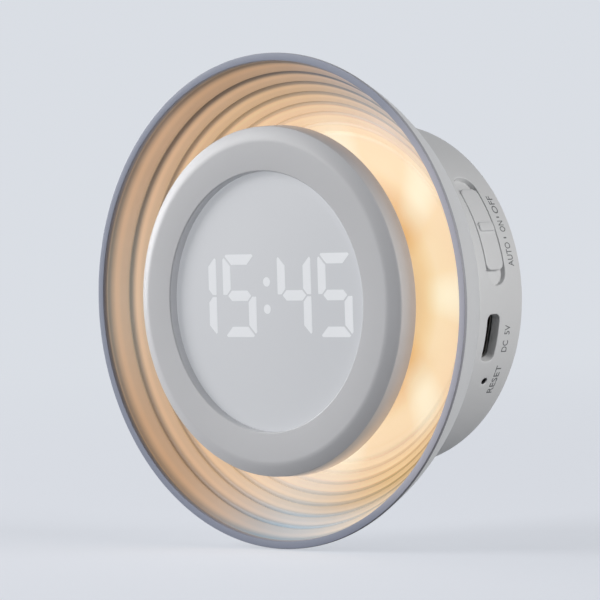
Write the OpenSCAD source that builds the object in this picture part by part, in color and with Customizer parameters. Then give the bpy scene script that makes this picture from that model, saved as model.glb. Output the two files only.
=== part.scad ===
// Night light clock for a wall: a round clock head stands on a neck in the middle of a
// grooved bowl, and a drum behind the bowl holds the battery, the board and the controls.
// Every module draws in the same way: x to the right, y up, z away from the wall.
// The whole is then turned so that the wall is the plane Y = 0 and the clock faces -Y.

/* [Bowl] */
// Radius of the bowl's rim
rim_r = 50; // [49:0.5:56]
// Distance from the wall to the front of the rim
rim_depth = 35.7; // [34.5:0.1:37]
// Width of the flat lip around the mouth
lip_w = 1.75; // [1.2:0.05:2.4]
// Radius of the outer edge of the lip
lip_edge_r = 0.4; // [0.2:0.05:0.6]
// Depth of the small step from the lip down to the bowl's inside
lip_step = 0.8; // [0.4:0.1:1.2]
// Distance from the wall to the bowl's flat floor
floor_depth = 10.4; // [10.2:0.1:11]
// Radius of that flat floor, where the wall starts to rise
floor_r = 13.6; // [13:0.1:14.5]
// Thickness of the bowl's wall
bowl_wall = 2.1; // [1.8:0.1:2.2]
// Number of turned grooves
groove_count = 8; // [3:1:10]
// Radial distance from one groove to the next
groove_pitch = 2.06; // [1.6:0.02:2.4]
// Width of a groove at the surface
groove_w = 0.9; // [0.4:0.05:1.2]
// Depth of a groove
groove_deep = 0.6; // [0.2:0.05:0.8]

/* [Drum] */
// Outer radius of the drum
drum_r = 35.4; // [35:0.1:36.5]
// Thickness of the drum's wall
drum_wall = 2; // [1.8:0.1:2.2]
// Height of the bowl's skirt between the seam and the outside of the bowl
skirt_h = 1.26; // [1:0.02:1.5]
// Width of the seam
seam_gap = 0.1; // [0.05:0.05:0.2]
// Width of the ledge that the rear cover is pulled against
ledge_w = 1.5; // [1:0.1:1.6]
// Thickness of that ledge
ledge_t = 1.4; // [1:0.1:1.6]

/* [Rear cover] */
// Thickness of the rear cover
cover_t = 2; // [1.8:0.1:2.1]
// Depth of the drum's wall that the cover leaves as a rim
cover_rim_w = 1.2; // [1:0.1:1.4]
// Radius of the keyhole's round entry
keyhole_r = 4; // [3.5:0.1:4.2]
// Height of the keyhole's entry above the centre
keyhole_y = 22.8; // [22.5:0.1:23.2]
// Half width of the keyhole's narrow slot
keyhole_slot_r = 2; // [1.6:0.1:2.2]
// Rise of the narrow slot above the entry
keyhole_rise = 5.4; // [4.5:0.1:5.6]

/* [Slider] */
// Angle of the mode slider above the horizontal
slider_angle = 22.7; // [20:0.1:26]
// Distance from the wall to the middle of the slider
slider_depth = 7.75; // [7.6:0.05:7.9]
// Half length of the slider along the drum
slider_half = 9; // [8:0.1:9.3]
// Half width of the slider
slider_half_w = 2.65; // [2.4:0.05:2.7]
// Radius of the slider's corners
slider_corner = 1.5; // [0.8:0.1:1.8]
// Half length of the recess that the slider runs in
recess_half = 12.1; // [12:0.1:12.6]
// Half width of that recess
recess_half_w = 2.9; // [2.85:0.05:3]
// Depth of that recess
recess_deep = 1.1; // [0.9:0.05:1.2]
// Travel of the slider to each side, along the drum
slider_travel = 2.1; // [1.6:0.1:2.1]
// Height of the raised thumb rib
rib_h = 0.45; // [0.2:0.05:0.7]
// Width of the thumb rib along the drum
rib_w = 1.85; // [1:0.05:2.4]

/* [Socket and pinhole] */
// Angle of the socket, below the horizontal
socket_angle = -14.2; // [-16:0.1:-12.5]
// Length of the socket's cut-out along the drum
cutout_l = 9.76; // [9.4:0.02:10]
// Width of the cut-out
cutout_w = 3.83; // [3.6:0.01:3.9]
// Corner radius of the cut-out
cutout_corner = 1.3; // [0.8:0.1:1.6]
// Width of the metal shell
shell_l = 8.94; // [8.8:0.02:9.1]
// Height of the metal shell
shell_h = 3.26; // [3.16:0.02:3.3]
// Sheet thickness of the metal shell
shell_t = 0.3; // [0.2:0.05:0.4]
// Angle of the reset pinhole
pinhole_angle = -29.6; // [-31:0.1:-28.5]
// Distance from the wall to the pinhole
pinhole_depth = 7.3; // [7.2:0.05:7.4]
// Radius of the pinhole
pinhole_r = 0.75; // [0.6:0.05:0.9]
// Travel of the reset plunger
reset_travel = 0.25; // [0.15:0.05:0.3]

/* [Clock head] */
// Radius of the head's side band at its back edge
head_r = 35.5; // [35:0.1:37]
// Taper of the side band towards the front
band_taper = 0.35; // [0.1:0.05:0.6]
// Distance from the wall to the head's front face
head_front = 38.64; // [38.4:0.02:39.2]
// Distance from the wall to the back edge of the side band
band_back = 33.13; // [33:0.01:33.3]
// Radius at which the front face starts to round off
shoulder_r = 31.3; // [29:0.1:32]
// Height of the rounded shoulder
shoulder_h = 1.34; // [0.8:0.02:1.6]
// Thickness of the head's side wall
band_wall = 2.1; // [1.8:0.1:2.3]
// Radius of the display opening
window_open_r = 26.25; // [25.9:0.05:26.4]
// Depth of the display below the front face
window_sunk = 1.96; // [1.8:0.02:2.1]
// Thickness of the display window
window_t = 1.15; // [1:0.05:1.25]
// Overlap of the window behind the bezel
window_lap = 0.85; // [0.6:0.05:0.9]
// Small bevel on the inner edge of the bezel
bezel_bevel = 0.5; // [0.2:0.1:0.8]
// Distance from the wall to the back of the head
head_back = 28.2; // [28:0.1:28.4]
// Radius of the flat back of the head
back_flat_r = 30.95; // [30.9:0.05:31.2]
// Thickness of the head's back
back_t = 1.4; // [1.2:0.1:1.5]
// Radial thickness of the head's sloping back wall
back_side_t = 1.2; // [1:0.05:1.2]

/* [Neck] */
// Outer radius of the neck
neck_r = 12; // [11.5:0.1:12.5]
// Thickness of the neck's wall
neck_wall = 2; // [1.6:0.1:2.2]
// Radius on which the neck's screws stand
neck_screw_ring = 8.2; // [8:0.1:8.4]
// Radius of the hole for the ribbon
ribbon_hole_r = 5.2; // [4.8:0.1:5.4]

/* [Digits] */
// Width of a digit
digit_w = 9.05; // [8.5:0.05:9.4]
// Height of a digit
digit_h = 16.76; // [15:0.02:18]
// Thickness of a segment
segment_w = 2.1; // [1.8:0.05:2.3]
// Gap between two segments
segment_gap = 0.42; // [0.3:0.02:0.6]
// Corner cut on the outer end of a segment
segment_clip = 0.68; // [0.3:0.02:0.9]
// Distance between the two digits of a pair
digit_pitch = 10.94; // [10.6:0.02:11.2]
// Distance from the colon to the nearest digit's middle
colon_to_digit = 7.49; // [7.2:0.01:7.7]
// Place of the colon, right of the centre
digits_x = -0.98; // [-1.2:0.02:0]
// Place of the digits' middle, above the centre
digits_y = 1.21; // [0:0.01:1.5]
// Radius of a colon dot
dot_r = 0.95; // [0.7:0.05:1.1]
// Distance of a colon dot from the middle
dot_rise = 2.75; // [2:0.05:3.5]

/* [Lamp] */
// Number of warm lamps that light the bowl
lamp_count = 6; // [6:1:8]
// Radius on which the lamps stand
lamp_ring = 21; // [20.5:0.1:21.5]
// Angle of the first lamp
lamp_angle = -5; // [-10:1:10]
// Inner radius of the arc windows in the head's back
arc_in_r = 17.5; // [17:0.1:18]
// Outer radius of the arc windows
arc_out_r = 24.5; // [24:0.1:24.6]
// Angle that one arc window takes
arc_span = 44; // [20:1:44]

/* [Boards and battery] */
// Distance from the wall to the back of the main board
board_back = 5.65; // [5.55:0.05:5.65]
// Thickness of the main board
board_t = 1.6; // [1.5:0.05:1.65]
// Place of the main board's straight edge
board_left = 11.2; // [11:0.1:11.3]
// Height of the battery
battery_h = 36; // [32:0.5:36]
// Thickness of the battery
battery_t = 4.5; // [4:0.1:4.6]
// Right edge of the battery
battery_right = 9; // [8.8:0.1:9.1]
// Thickness of the foam pad behind the battery
pad_t = 0.5; // [0.3:0.1:0.5]

/* [Set buttons] */
// Radius of a button cap
cap_r = 2.6; // [2.2:0.1:2.8]
// Place of the buttons right of the centre
cap_x = 21; // [20.8:0.1:21.2]
// Distance between two buttons
cap_pitch = 8.5; // [8.2:0.1:9]
// Travel of a button
cap_travel = 0.4; // [0.2:0.05:0.4]
// Depth of a button below the rear face
cap_sunk = 0.35; // [0.2:0.05:0.5]

/* [Hidden] */
$fn = 96;

// Clearances and small parts that several pieces share
fit = 0.2;
snug = 0.1;
touch = 0.05;
over = 1;
screw_pilot_r = 1;
screw_hole_r = 1.15;
screw_head_r = 1.8;
screw_head_h = 1.1;
screw_cross_w = 0.45;
screw_cross_deep = 0.5;

// The bowl's inside curve leaves the floor at floor_r and ends at the lip's step
mouth_r = rim_r - lip_w;
mouth_depth = rim_depth - lip_step;
bowl_rise = mouth_depth - floor_depth;
bowl_curve_r = (pow(mouth_r - floor_r, 2) + pow(bowl_rise, 2)) / (2 * bowl_rise);
curve_z = floor_depth + bowl_curve_r;
curve_x = floor_r;
outer_curve_r = bowl_curve_r + bowl_wall;
mouth_angle = -acos((mouth_r - curve_x) / bowl_curve_r);
rim_angle = -acos((rim_r - curve_x) / outer_curve_r);
curve_steps = 22;
groove_first = 0.15;
groove_over = 0.25;

// Depth of the inside and the outside of the bowl at radius r
function inside_depth(r) =
    r > curve_x ? curve_z - sqrt(pow(bowl_curve_r, 2) - pow(r - curve_x, 2)) : floor_depth;
function outside_depth(r) =
    r > curve_x ? curve_z - sqrt(pow(outer_curve_r, 2) - pow(r - curve_x, 2))
        : floor_depth - bowl_wall;

// Points on an arc round centre c
function arc(c, r, a0, a1, n) =
    [for (i = [0:n]) let (a = a0 + (a1 - a0) * i / n) [c[0] + r * cos(a), c[1] + r * sin(a)]];

// Straight distance that matches a length measured along the drum
function along(length) = drum_r * sin(length / drum_r * 180 / PI);

drum_in_r = drum_r - drum_wall;
seam_depth = outside_depth(drum_r) - skirt_h;
cover_r = drum_r - cover_rim_w - fit;
ledge_in_r = drum_in_r - ledge_w;
spigot_t = 1.5;
spigot_l = 2.3;
spigot_r = drum_in_r - fit;
cover_screw_angles = [60, 120, 240, 300];
cover_screw_ring = drum_in_r - 5.4;
cover_boss_r = 2.8;
cover_pilot_r = 1.2;
cover_hole_r = 1.35;
cover_head_r = 2.1;
cover_sink = 1.1;
cover_pilot_end = 9.6;
board_front = board_back + board_t;
socket_depth = board_front + shell_h / 2;
board_edge_r = drum_in_r - 1.8;
board_screw_at = [15.5, 16.5];
board_half_h = board_screw_at[1] + 3.5;
board_boss_r = 2.2;
board_pilot_l = 3.2;
// Each chip: place right of and above the centre, half its side, and its height
front_chips = [[20, 0, 3, 0.8], [15.6, -9.4, 1.5, 0.7]];
rear_chips = [[15.8, -10, 2, 0.9], [13.6, -3.4, 1.5, 1.4]];
neck_screw_angles = [60, 180, 300];
neck_boss_r = 2.6;
neck_pilot_l = 6;
neck_sink = 0.3;

// The slider's parts inside the drum
recess_r = drum_r - recess_deep;
slider_plate_t = recess_deep - snug - touch;
stalk_half = 1.9;
stalk_half_w = 0.85;
stalk_slot_half = stalk_half + slider_travel + fit;
stalk_in_r = drum_in_r - 1.6;
clip_t = 0.7;
clip_half_w = 1.8;
lever_half = 0.8;
lever_end_r = drum_in_r - 0.5;
lever_in_r = lever_end_r - 3.2;
lever_play = 0.3;
switch_l = 8.8;
switch_h = 3.6;
switch_out_r = drum_in_r - 2.2;
switch_in_r = switch_out_r - 3.6;
switch_slot_half = lever_half + slider_travel + fit;

spigot_back = max(seam_depth - spigot_l, slider_depth + clip_half_w + 2 * fit);
tab_l = 0.9;
tab_half_w = 0.35;
tab_t = 0.25;
mode_tabs = [-3, -1, 1, 3];
reset_tabs = [-1.4, 1.4];

// The reset switch and its plunger
reset_w = 4.4;
reset_h = 1.8;
reset_out_r = drum_in_r - 1.1;
reset_in_r = reset_out_r - 3.1;
plunger_r = 0.55;
plunger_out_r = drum_in_r - 0.25;
plunger_in_r = plunger_out_r - 1.55;
plunger_hole_r = plunger_r + 0.12;

// The socket behind its cut-out
shell_corner = 1.3;
shell_out_r = drum_in_r - fit;
shell_l_deep = 6.6;
shell_in_r = shell_out_r - shell_l_deep;
shell_relief = 0.3;
tongue_w = 6.69;
tongue_t = 0.7;
tongue_sunk = 0.6;

// The head's inside, from its back to the window
back_inner = head_back + back_t;
back_setback = 0.3;
back_slope = (head_r - back_setback - back_flat_r) / (band_back - seam_gap - head_back);
back_rim = band_back - seam_gap;
head_in_r = head_r - band_wall;
window_front = head_front - window_sunk;
window_back = window_front - window_t;
bezel_under = window_front;
window_r = window_open_r + window_lap;
window_rib_t = 0.8;
window_rib_h = 2;
head_screw_angles = [45, 135, 225, 315];
head_screw_ring = window_r + 2;
head_boss_r = 1.6;
head_pilot_r = 0.8;
head_pilot_end = 35;
head_hole_r = 1;
head_head_r = 1.5;
head_sink = 0.7;
head_spigot_t = 1.3;
head_spigot_back = 31;
head_spigot_front = band_back + 1;
board_r = window_r - 0.6;
lamp_h = 0.6;
lamp_l = 3.5;
lamp_w = 2.8;
light_board_back = back_inner + 1.8;
light_board_t = 0.9;
light_board_in_r = 13.4;
rib_t = 1;
diffuser_t = 0.9;
display_board_t = 1;
display_board_back = light_board_back + light_board_t;
display_board_front = display_board_back + display_board_t;
led_h = 0.45;
led_size = [1.6, 0.8];
mask_back = display_board_front;
mask_play = 0.08;
mask_front = window_back - mask_play;
guide_play = 0.25;
guide_back = display_board_front + led_h + guide_play;
guide_inset = 0.06;
mask_r = window_r - 0.15;
sensor_y = -19;
sensor_hole_r = 1.6;
sensor_half = 0.9;
sensor_h = 0.8;
display_chip_x = -7;
display_chip_half = 3.5;
digit_centres = [-colon_to_digit - digit_pitch, -colon_to_digit,
    colon_to_digit, colon_to_digit + digit_pitch];

// The ribbon between the boards
ribbon_w = 4.5;
ribbon_t = 0.3;
ribbon_bend = 1;
ribbon_x = 1.2;
ribbon_low = board_front + 0.45;
ribbon_socket_h = 0.9;
ribbon_socket_l = 3;
ribbon_socket_w = 6.4;
ribbon_entry = 0.4;
ribbon_tail = 0.7;
ribbon_high = display_board_back - ribbon_socket_h / 2;

// The battery, its pad and its two leads
battery_back = cover_t + pad_t;
tray_t = 1;
tray_h = 2.5;
tray_gap = 0.3;
battery_left = -sqrt(pow(ledge_in_r - tray_gap, 2) - pow(battery_h / 2, 2));
tray_end_half = 12;
tray_side_x = -9.5;
tray_side_l = 5;
tray_right_y = [-16.5, 10];
tray_right_l = [4, 6];
lead_r = 0.45;
lead_sides = 8;
lead_steps = 3;
plug_size = [5, 4.4, 3];
plug_at = [11.6, 4.6];
lead_routes = [
    [[9, -9, 3.4], [9.6, -9, 3.4], [10.1, -8.3, 3.4], [10.2, -6, 3.4], [10.2, -2, 3.3],
        [10.2, 1.6, 3.3], [10.3, 3.9, 3.4], [10.9, 4.6, 3.5], [11.6, 4.6, 3.5]],
    [[9, -9, 4.6], [9.6, -9, 4.6], [10.1, -8.3, 4.6], [10.2, -6, 4.6], [10.2, -2, 4.7],
        [10.2, 1.6, 4.7], [10.3, 3.9, 4.7], [10.9, 4.6, 4.7], [11.6, 4.6, 4.7]]];

// The set buttons
cap_flange_r = cap_r + 0.9;
cap_flange_t = 0.6;
cap_flange_back = cover_t + snug;
cap_post_r = 1.1;
dome_r = 2.4;
dome_h = 0.6;
cap_post_end = board_back - dome_h - snug - cap_travel;

white = [0.93, 0.93, 0.92];
lamp_white = [0.99, 0.95, 0.85];
board_green = [0.13, 0.35, 0.22];
steel = [0.72, 0.73, 0.75];
black = [0.12, 0.12, 0.13];

// Turns the wall frame, where z leaves the wall, into the part's own frame
module on_wall() {
    rotate([90, 0, 0]) children();
}

// Turns a piece that lies on the x axis to a place round the drum
module at_side(angle) {
    rotate([0, 0, angle]) children();
}

module tube(r_out, r_in, z0, z1) {
    translate([0, 0, z0]) difference() {
        cylinder(r = r_out, h = z1 - z0);
        translate([0, 0, -over]) cylinder(r = r_in, h = z1 - z0 + 2 * over);
    }
}

module rod(r, z0, z1) {
    translate([0, 0, z0]) cylinder(r = r, h = z1 - z0);
}

module block(x0, x1, half_y, z0, z1) {
    translate([x0, -half_y, z0]) cube([x1 - x0, 2 * half_y, z1 - z0]);
}

// A rod that lies along x, from x0 to x1
module side_rod(r, x0, x1) {
    translate([x0, 0, 0]) rotate([0, 90, 0]) cylinder(r = r, h = x1 - x0);
}

// A rectangle of size w by h with true round corners
module round_rect(w, h, r) {
    square([w - 2 * r, h], center = true);
    square([w, h - 2 * r], center = true);
    for (sx = [-1, 1], sy = [-1, 1])
        translate([sx * (w / 2 - r), sy * (h / 2 - r)]) circle(r = r);
}

// A round-cornered bar that runs outwards through the drum's wall
module side_bar(depth, length, r, x0, x1) {
    translate([x0, 0, 0]) rotate([0, 90, 0]) linear_extrude(x1 - x0) round_rect(depth, length, r);
}

module at_ring(radius, angles) {
    for (a = angles) rotate([0, 0, a]) translate([radius, 0, 0]) children();
}

// A cross-recessed screw: its head sits below z0 and its shank runs up to z1
module screw(head_r, head_h, shank_r, z0, z1) {
    difference() {
        rod(head_r, z0 - head_h, z0);
        for (a = [0, 90]) rotate([0, 0, a])
            translate([-head_r * 0.6, -screw_cross_w / 2, z0 - head_h - over])
                cube([head_r * 1.2, screw_cross_w, screw_cross_deep + over]);
    }
    rod(shank_r, z0 - touch, z1);
}

module bowl_profile() {
    polygon(concat(
        [[0, floor_depth]],
        arc([curve_x, curve_z], bowl_curve_r, -90, mouth_angle, curve_steps),
        [[mouth_r, rim_depth - snug], [mouth_r + snug, rim_depth]],
        arc([rim_r - lip_edge_r, rim_depth - lip_edge_r], lip_edge_r, 90, 0, 5),
        arc([curve_x, curve_z], outer_curve_r, rim_angle, -90, curve_steps),
        [[0, floor_depth - bowl_wall]]));
}

// The space inside the bowl, which also trims the bosses under it
module bowl_space() {
    rotate_extrude() polygon(concat(
        [[0, floor_depth]],
        arc([curve_x, curve_z], bowl_curve_r, -90, mouth_angle, curve_steps),
        [[mouth_r, rim_depth + over], [0, rim_depth + over]]));
}

// One turned groove, as a ring with a V section that points into the wall
module groove(index) {
    r = mouth_r - groove_pitch * index - (index == 0 ? groove_first : 0);
    a = -acos((r - curve_x) / bowl_curve_r);
    out = [cos(a), sin(a)];
    side = [-sin(a), cos(a)];
    p = [curve_x, curve_z] + bowl_curve_r * out;
    near = groove_w / 2 * (1 + groove_over / groove_deep);
    rotate_extrude() polygon([p - side * near - out * groove_over,
        p + side * near - out * groove_over, p + out * groove_deep]);
}

module reflector_bowl() color(white) on_wall() difference() {
    union() {
        rotate_extrude() bowl_profile();
        tube(drum_r, drum_in_r - fit, seam_depth, outside_depth(drum_r) + bowl_wall / 2);
        tube(spigot_r, spigot_r - spigot_t, spigot_back, outside_depth(spigot_r) + bowl_wall / 2);
        at_ring(cover_screw_ring, cover_screw_angles)
            rod(cover_boss_r, cover_t, outside_depth(cover_screw_ring) + bowl_wall);
        for (side = [-1, 1]) translate([board_screw_at[0], side * board_screw_at[1], 0])
            rod(board_boss_r, board_front, outside_depth(norm(board_screw_at)) + bowl_wall / 2);
    }
    bowl_space();
    for (i = [0:groove_count - 1]) groove(i);
    rod(ribbon_hole_r, 0, floor_depth + over);
    at_ring(neck_screw_ring, neck_screw_angles) {
        rod(screw_hole_r, 0, floor_depth + over);
        rod(screw_head_r + snug, 0, floor_depth - bowl_wall + neck_sink);
    }
    at_ring(cover_screw_ring, cover_screw_angles) rod(cover_pilot_r, 0, cover_pilot_end);
    for (side = [-1, 1]) translate([board_screw_at[0], side * board_screw_at[1], 0])
        rod(screw_pilot_r, 0, board_front + board_pilot_l);
    at_side(socket_angle) block(shell_in_r - fit, drum_in_r, shell_l / 2 + fit,
        socket_depth, socket_depth + shell_h / 2 + shell_relief);
}

module base_housing() color(white) on_wall() difference() {
    union() {
        tube(drum_r, drum_in_r, 0, seam_depth - seam_gap);
        tube(drum_in_r + over, ledge_in_r, cover_t, cover_t + ledge_t);
    }
    rod(cover_r + fit, -over, cover_t);
    at_side(slider_angle) {
        translate([0, 0, slider_depth]) intersection() {
            tube(drum_r + over, recess_r, -recess_half_w, recess_half_w);
            side_bar(2 * recess_half_w, 2 * along(recess_half), recess_half_w - touch,
                0, drum_r + over);
        }
        block(drum_in_r - over, drum_r, stalk_slot_half,
            slider_depth - stalk_half_w - snug, slider_depth + stalk_half_w + snug);
    }
    at_side(socket_angle) translate([0, 0, socket_depth])
        side_bar(cutout_w, cutout_l, cutout_corner, drum_in_r - over, drum_r + over);
    at_side(pinhole_angle) translate([0, 0, pinhole_depth])
        side_rod(pinhole_r, drum_in_r - over, drum_r + over);
}

module battery_tray() {
    left = battery_left - tray_gap - tray_t;
    right = battery_right + tray_gap;
    top = battery_h / 2 + tray_gap;
    block(left, left + tray_t, tray_end_half, cover_t, cover_t + tray_h);
    for (y = [-top - tray_t, top]) translate([tray_side_x, y, cover_t])
        cube([tray_side_l, tray_t, tray_h]);
    for (i = [0, 1]) translate([right, tray_right_y[i], cover_t])
        cube([tray_t, tray_right_l[i], tray_h]);
}

module rear_cover() color(white) on_wall() difference() {
    union() {
        rod(cover_r, 0, cover_t);
        battery_tray();
    }
    translate([0, keyhole_y, 0]) {
        rod(keyhole_r, -over, cover_t + over);
        translate([-keyhole_slot_r, 0, -over])
            cube([2 * keyhole_slot_r, keyhole_rise, cover_t + 2 * over]);
        translate([0, keyhole_rise, 0]) rod(keyhole_slot_r, -over, cover_t + over);
    }
    at_ring(cover_screw_ring, cover_screw_angles) {
        rod(cover_hole_r, -over, cover_t + over);
        rod(cover_head_r + fit, -over, cover_sink);
    }
    for (i = [-1:1]) translate([cap_x, i * cap_pitch, 0]) rod(cap_r + fit, -over, cover_t + over);
}

module cover_screws() color(steel) on_wall() at_ring(cover_screw_ring, cover_screw_angles)
    screw(cover_head_r, cover_sink - snug, cover_pilot_r - touch, cover_sink,
        cover_pilot_end - 2 * fit);

module neck_outline() {
    difference() {
        circle(r = neck_r);
        circle(r = neck_r - neck_wall);
    }
    for (a = neck_screw_angles) rotate(a) translate([neck_screw_ring, 0])
        difference() {
            circle(r = neck_boss_r);
            circle(r = screw_pilot_r);
        }
}

module neck() color(white) on_wall() translate([0, 0, floor_depth])
    linear_extrude(head_back - floor_depth) neck_outline();

module neck_rear_screws() color(steel) on_wall() at_ring(neck_screw_ring, neck_screw_angles)
    screw(screw_head_r, screw_head_h, screw_pilot_r - touch,
        floor_depth - bowl_wall + neck_sink, floor_depth + neck_pilot_l - fit);

module neck_front_screws() color(steel) on_wall() at_ring(neck_screw_ring, neck_screw_angles)
    translate([0, 0, back_inner + head_back]) mirror([0, 0, 1])
        screw(screw_head_r, screw_head_h, screw_pilot_r - touch, head_back,
            back_inner + neck_pilot_l - fit);

// The head's back: a shallow tray with a sloping side and six arc windows
module puck_back() color(white) on_wall() difference() {
    union() {
        rotate_extrude() polygon([[0, head_back], [back_flat_r, head_back],
            [back_flat_r + back_slope * (back_rim - head_back), back_rim],
            [back_flat_r + back_slope * (back_rim - head_back) - back_side_t, back_rim],
            [back_flat_r + back_slope * back_t - back_side_t, back_inner], [0, back_inner]]);
        tube(head_in_r - fit, head_in_r - fit - head_spigot_t,
            head_spigot_back, head_spigot_front);
        tube(board_r - snug, board_r - snug - rib_t, back_inner - touch, light_board_back);
        tube(light_board_in_r + 2 * rib_t, light_board_in_r + rib_t / 2,
            back_inner - touch, light_board_back);
    }
    rod(ribbon_hole_r, head_back - over, back_inner + over);
    at_ring(neck_screw_ring, neck_screw_angles) rod(screw_hole_r, head_back - over, back_inner + over);
    at_ring(head_screw_ring, head_screw_angles) {
        rod(head_hole_r, head_back - over, back_inner + over);
        rod(head_head_r + snug, head_back - over, head_back + head_sink);
    }
    for (i = [0:lamp_count - 1]) rotate([0, 0, lamp_angle + i * 360 / lamp_count - arc_span / 2])
        translate([0, 0, head_back - over]) rotate_extrude(angle = arc_span)
            translate([arc_in_r, 0]) square([arc_out_r - arc_in_r, back_t + 2 * over]);
}

module puck_screws() color(steel) on_wall() at_ring(head_screw_ring, head_screw_angles)
    screw(head_head_r, head_sink - touch, head_pilot_r - touch, head_back + head_sink,
        head_pilot_end - 2 * fit);

module bezel_ring() color(white) on_wall() difference() {
    union() {
        rotate_extrude() polygon(concat(
            [[window_open_r, bezel_under], [window_open_r, head_front - bezel_bevel],
                [window_open_r + bezel_bevel, head_front]],
            [for (a = [90:-10:0]) [shoulder_r + (head_r - band_taper - shoulder_r) * cos(a),
                head_front - shoulder_h + shoulder_h * sin(a)]],
            [[head_r, band_back], [head_in_r, band_back], [head_in_r, bezel_under]]));
        tube(window_r + snug + window_rib_t, window_r + snug,
            bezel_under - window_rib_h, bezel_under + touch);
        at_ring(head_screw_ring, head_screw_angles)
            rod(head_boss_r, back_inner + touch, bezel_under + touch);
    }
    at_ring(head_screw_ring, head_screw_angles) rod(head_pilot_r, 0, head_pilot_end);
}

module display_window() color([0.8, 0.81, 0.83]) on_wall()
    rod(window_r, window_back, window_front);

// One bar of a digit, named a to g as usual, drawn round the digit's middle
function bar_a(w, h, t, g) = [[-w / 2 + g + segment_clip, h / 2], [w / 2 - g - segment_clip, h / 2],
    [w / 2 - g - segment_clip / 2, h / 2 - segment_clip / 2], [w / 2 - g - t, h / 2 - t],
    [-w / 2 + g + t, h / 2 - t], [-w / 2 + g + segment_clip / 2, h / 2 - segment_clip / 2]];
function bar_f(w, h, t, g) = [[-w / 2, h / 2 - g - segment_clip],
    [-w / 2 + segment_clip / 2, h / 2 - g - segment_clip / 2], [-w / 2 + t, h / 2 - g - t],
    [-w / 2 + t, t / 2 + g], [-w / 2 + t / 2, g * 0.7], [-w / 2, g * 0.7]];
function bar_g(w, h, t, g) = [[-w / 2 + t / 2 + g, 0], [-w / 2 + t + g, t / 2],
    [w / 2 - t - g, t / 2], [w / 2 - t / 2 - g, 0], [w / 2 - t - g, -t / 2],
    [-w / 2 + t + g, -t / 2]];

module bar(name, inset) {
    w = digit_w - 2 * inset;
    h = digit_h - 2 * inset;
    t = segment_w - 2 * inset;
    g = (segment_gap + 2 * inset) / sqrt(2);
    if (name == "a") polygon(bar_a(w, h, t, g));
    if (name == "d") mirror([0, 1]) polygon(bar_a(w, h, t, g));
    if (name == "f") polygon(bar_f(w, h, t, g));
    if (name == "e") mirror([0, 1]) polygon(bar_f(w, h, t, g));
    if (name == "b") mirror([1, 0]) polygon(bar_f(w, h, t, g));
    if (name == "c") mirror([1, 0]) mirror([0, 1]) polygon(bar_f(w, h, t, g));
    if (name == "g") polygon(bar_g(w, h, t, g));
}

// All thirty lit places: four digits of seven bars, and the colon's two dots
module lit_places(inset) {
    for (x = digit_centres, name = ["a", "b", "c", "d", "e", "f", "g"])
        translate([digits_x + x, digits_y]) bar(name, inset);
    for (side = [-1, 1]) translate([digits_x, digits_y + side * dot_rise]) circle(r = dot_r - inset);
}

module segment_mask() color(black) on_wall() difference() {
    rod(mask_r, mask_back, mask_front);
    translate([0, 0, mask_back - over]) linear_extrude(mask_front - mask_back + 2 * over)
        lit_places(0);
    translate([0, sensor_y, 0]) rod(sensor_hole_r, mask_back - over, mask_front + over);
}

module segment_guides() color([0.97, 0.97, 0.99]) on_wall()
    translate([0, 0, guide_back]) linear_extrude(mask_front + touch - guide_back)
        lit_places(guide_inset);

// Middle of each bar, right of and above the digit's middle, and whether it stands upright
bar_x = (digit_w - segment_w) / 2;
bar_y = (digit_h - segment_w) / 2;
led_places = [[0, bar_y, 0], [0, -bar_y, 0], [0, 0, 0], [-bar_x, bar_y / 2, 90],
    [bar_x, bar_y / 2, 90], [-bar_x, -bar_y / 2, 90], [bar_x, -bar_y / 2, 90]];

module display_leds() color([0.95, 0.93, 0.7]) on_wall()
    translate([digits_x, digits_y, display_board_front]) {
        for (x = digit_centres, p = led_places) translate([x + p[0], p[1], 0]) rotate([0, 0, p[2]])
            translate([-led_size[0] / 2, -led_size[1] / 2, 0]) cube([led_size[0], led_size[1], led_h]);
        for (side = [-1, 1]) translate([-led_size[1] / 2, side * dot_rise - led_size[1] / 2, 0])
            cube([led_size[1], led_size[1], led_h]);
    }

module display_board() color(board_green) on_wall()
    rod(board_r, display_board_back, display_board_front);

module display_chip() color(black) on_wall()
    translate([display_chip_x, 0, display_board_back - ribbon_socket_h])
        block(-display_chip_half, display_chip_half, display_chip_half, 0, ribbon_socket_h);

module ambient_sensor() color(black) on_wall() translate([0, sensor_y, 0])
    block(-sensor_half, sensor_half, sensor_half, display_board_front,
        display_board_front + sensor_h);

module light_board() color(board_green) on_wall()
    tube(board_r, light_board_in_r, light_board_back, light_board_back + light_board_t);

module light_leds() color(lamp_white) on_wall()
    at_ring(lamp_ring, [for (i = [0:lamp_count - 1]) lamp_angle + i * 360 / lamp_count])
        block(-lamp_w / 2, lamp_w / 2, lamp_l / 2, light_board_back - lamp_h, light_board_back);

module diffuser_ring() color([0.97, 0.95, 0.9, 0.8]) on_wall()
    tube(board_r - snug - rib_t - fit, light_board_in_r + 2 * rib_t + fit,
        back_inner, back_inner + diffuser_t);

// The ribbon's side view: along over the battery, up through the neck, and along again
module ribbon_profile() {
    far = ribbon_x + ribbon_bend;
    half = ribbon_t / 2;
    translate([far, ribbon_low - half]) square([board_left + ribbon_entry - far, ribbon_t]);
    translate([ribbon_x - half, ribbon_low + ribbon_bend])
        square([ribbon_t, ribbon_high - ribbon_low - 2 * ribbon_bend]);
    translate([far, ribbon_high - half]) square([ribbon_tail, ribbon_t]);
    for (end = [[ribbon_low + ribbon_bend, -1], [ribbon_high - ribbon_bend, 1]])
        translate([far, end[0]]) intersection() {
            difference() {
                circle(r = ribbon_bend + half);
                circle(r = ribbon_bend - half);
            }
            translate([-2 * ribbon_bend, end[1] > 0 ? 0 : -2 * ribbon_bend])
                square(2 * ribbon_bend);
        }
}

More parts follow.
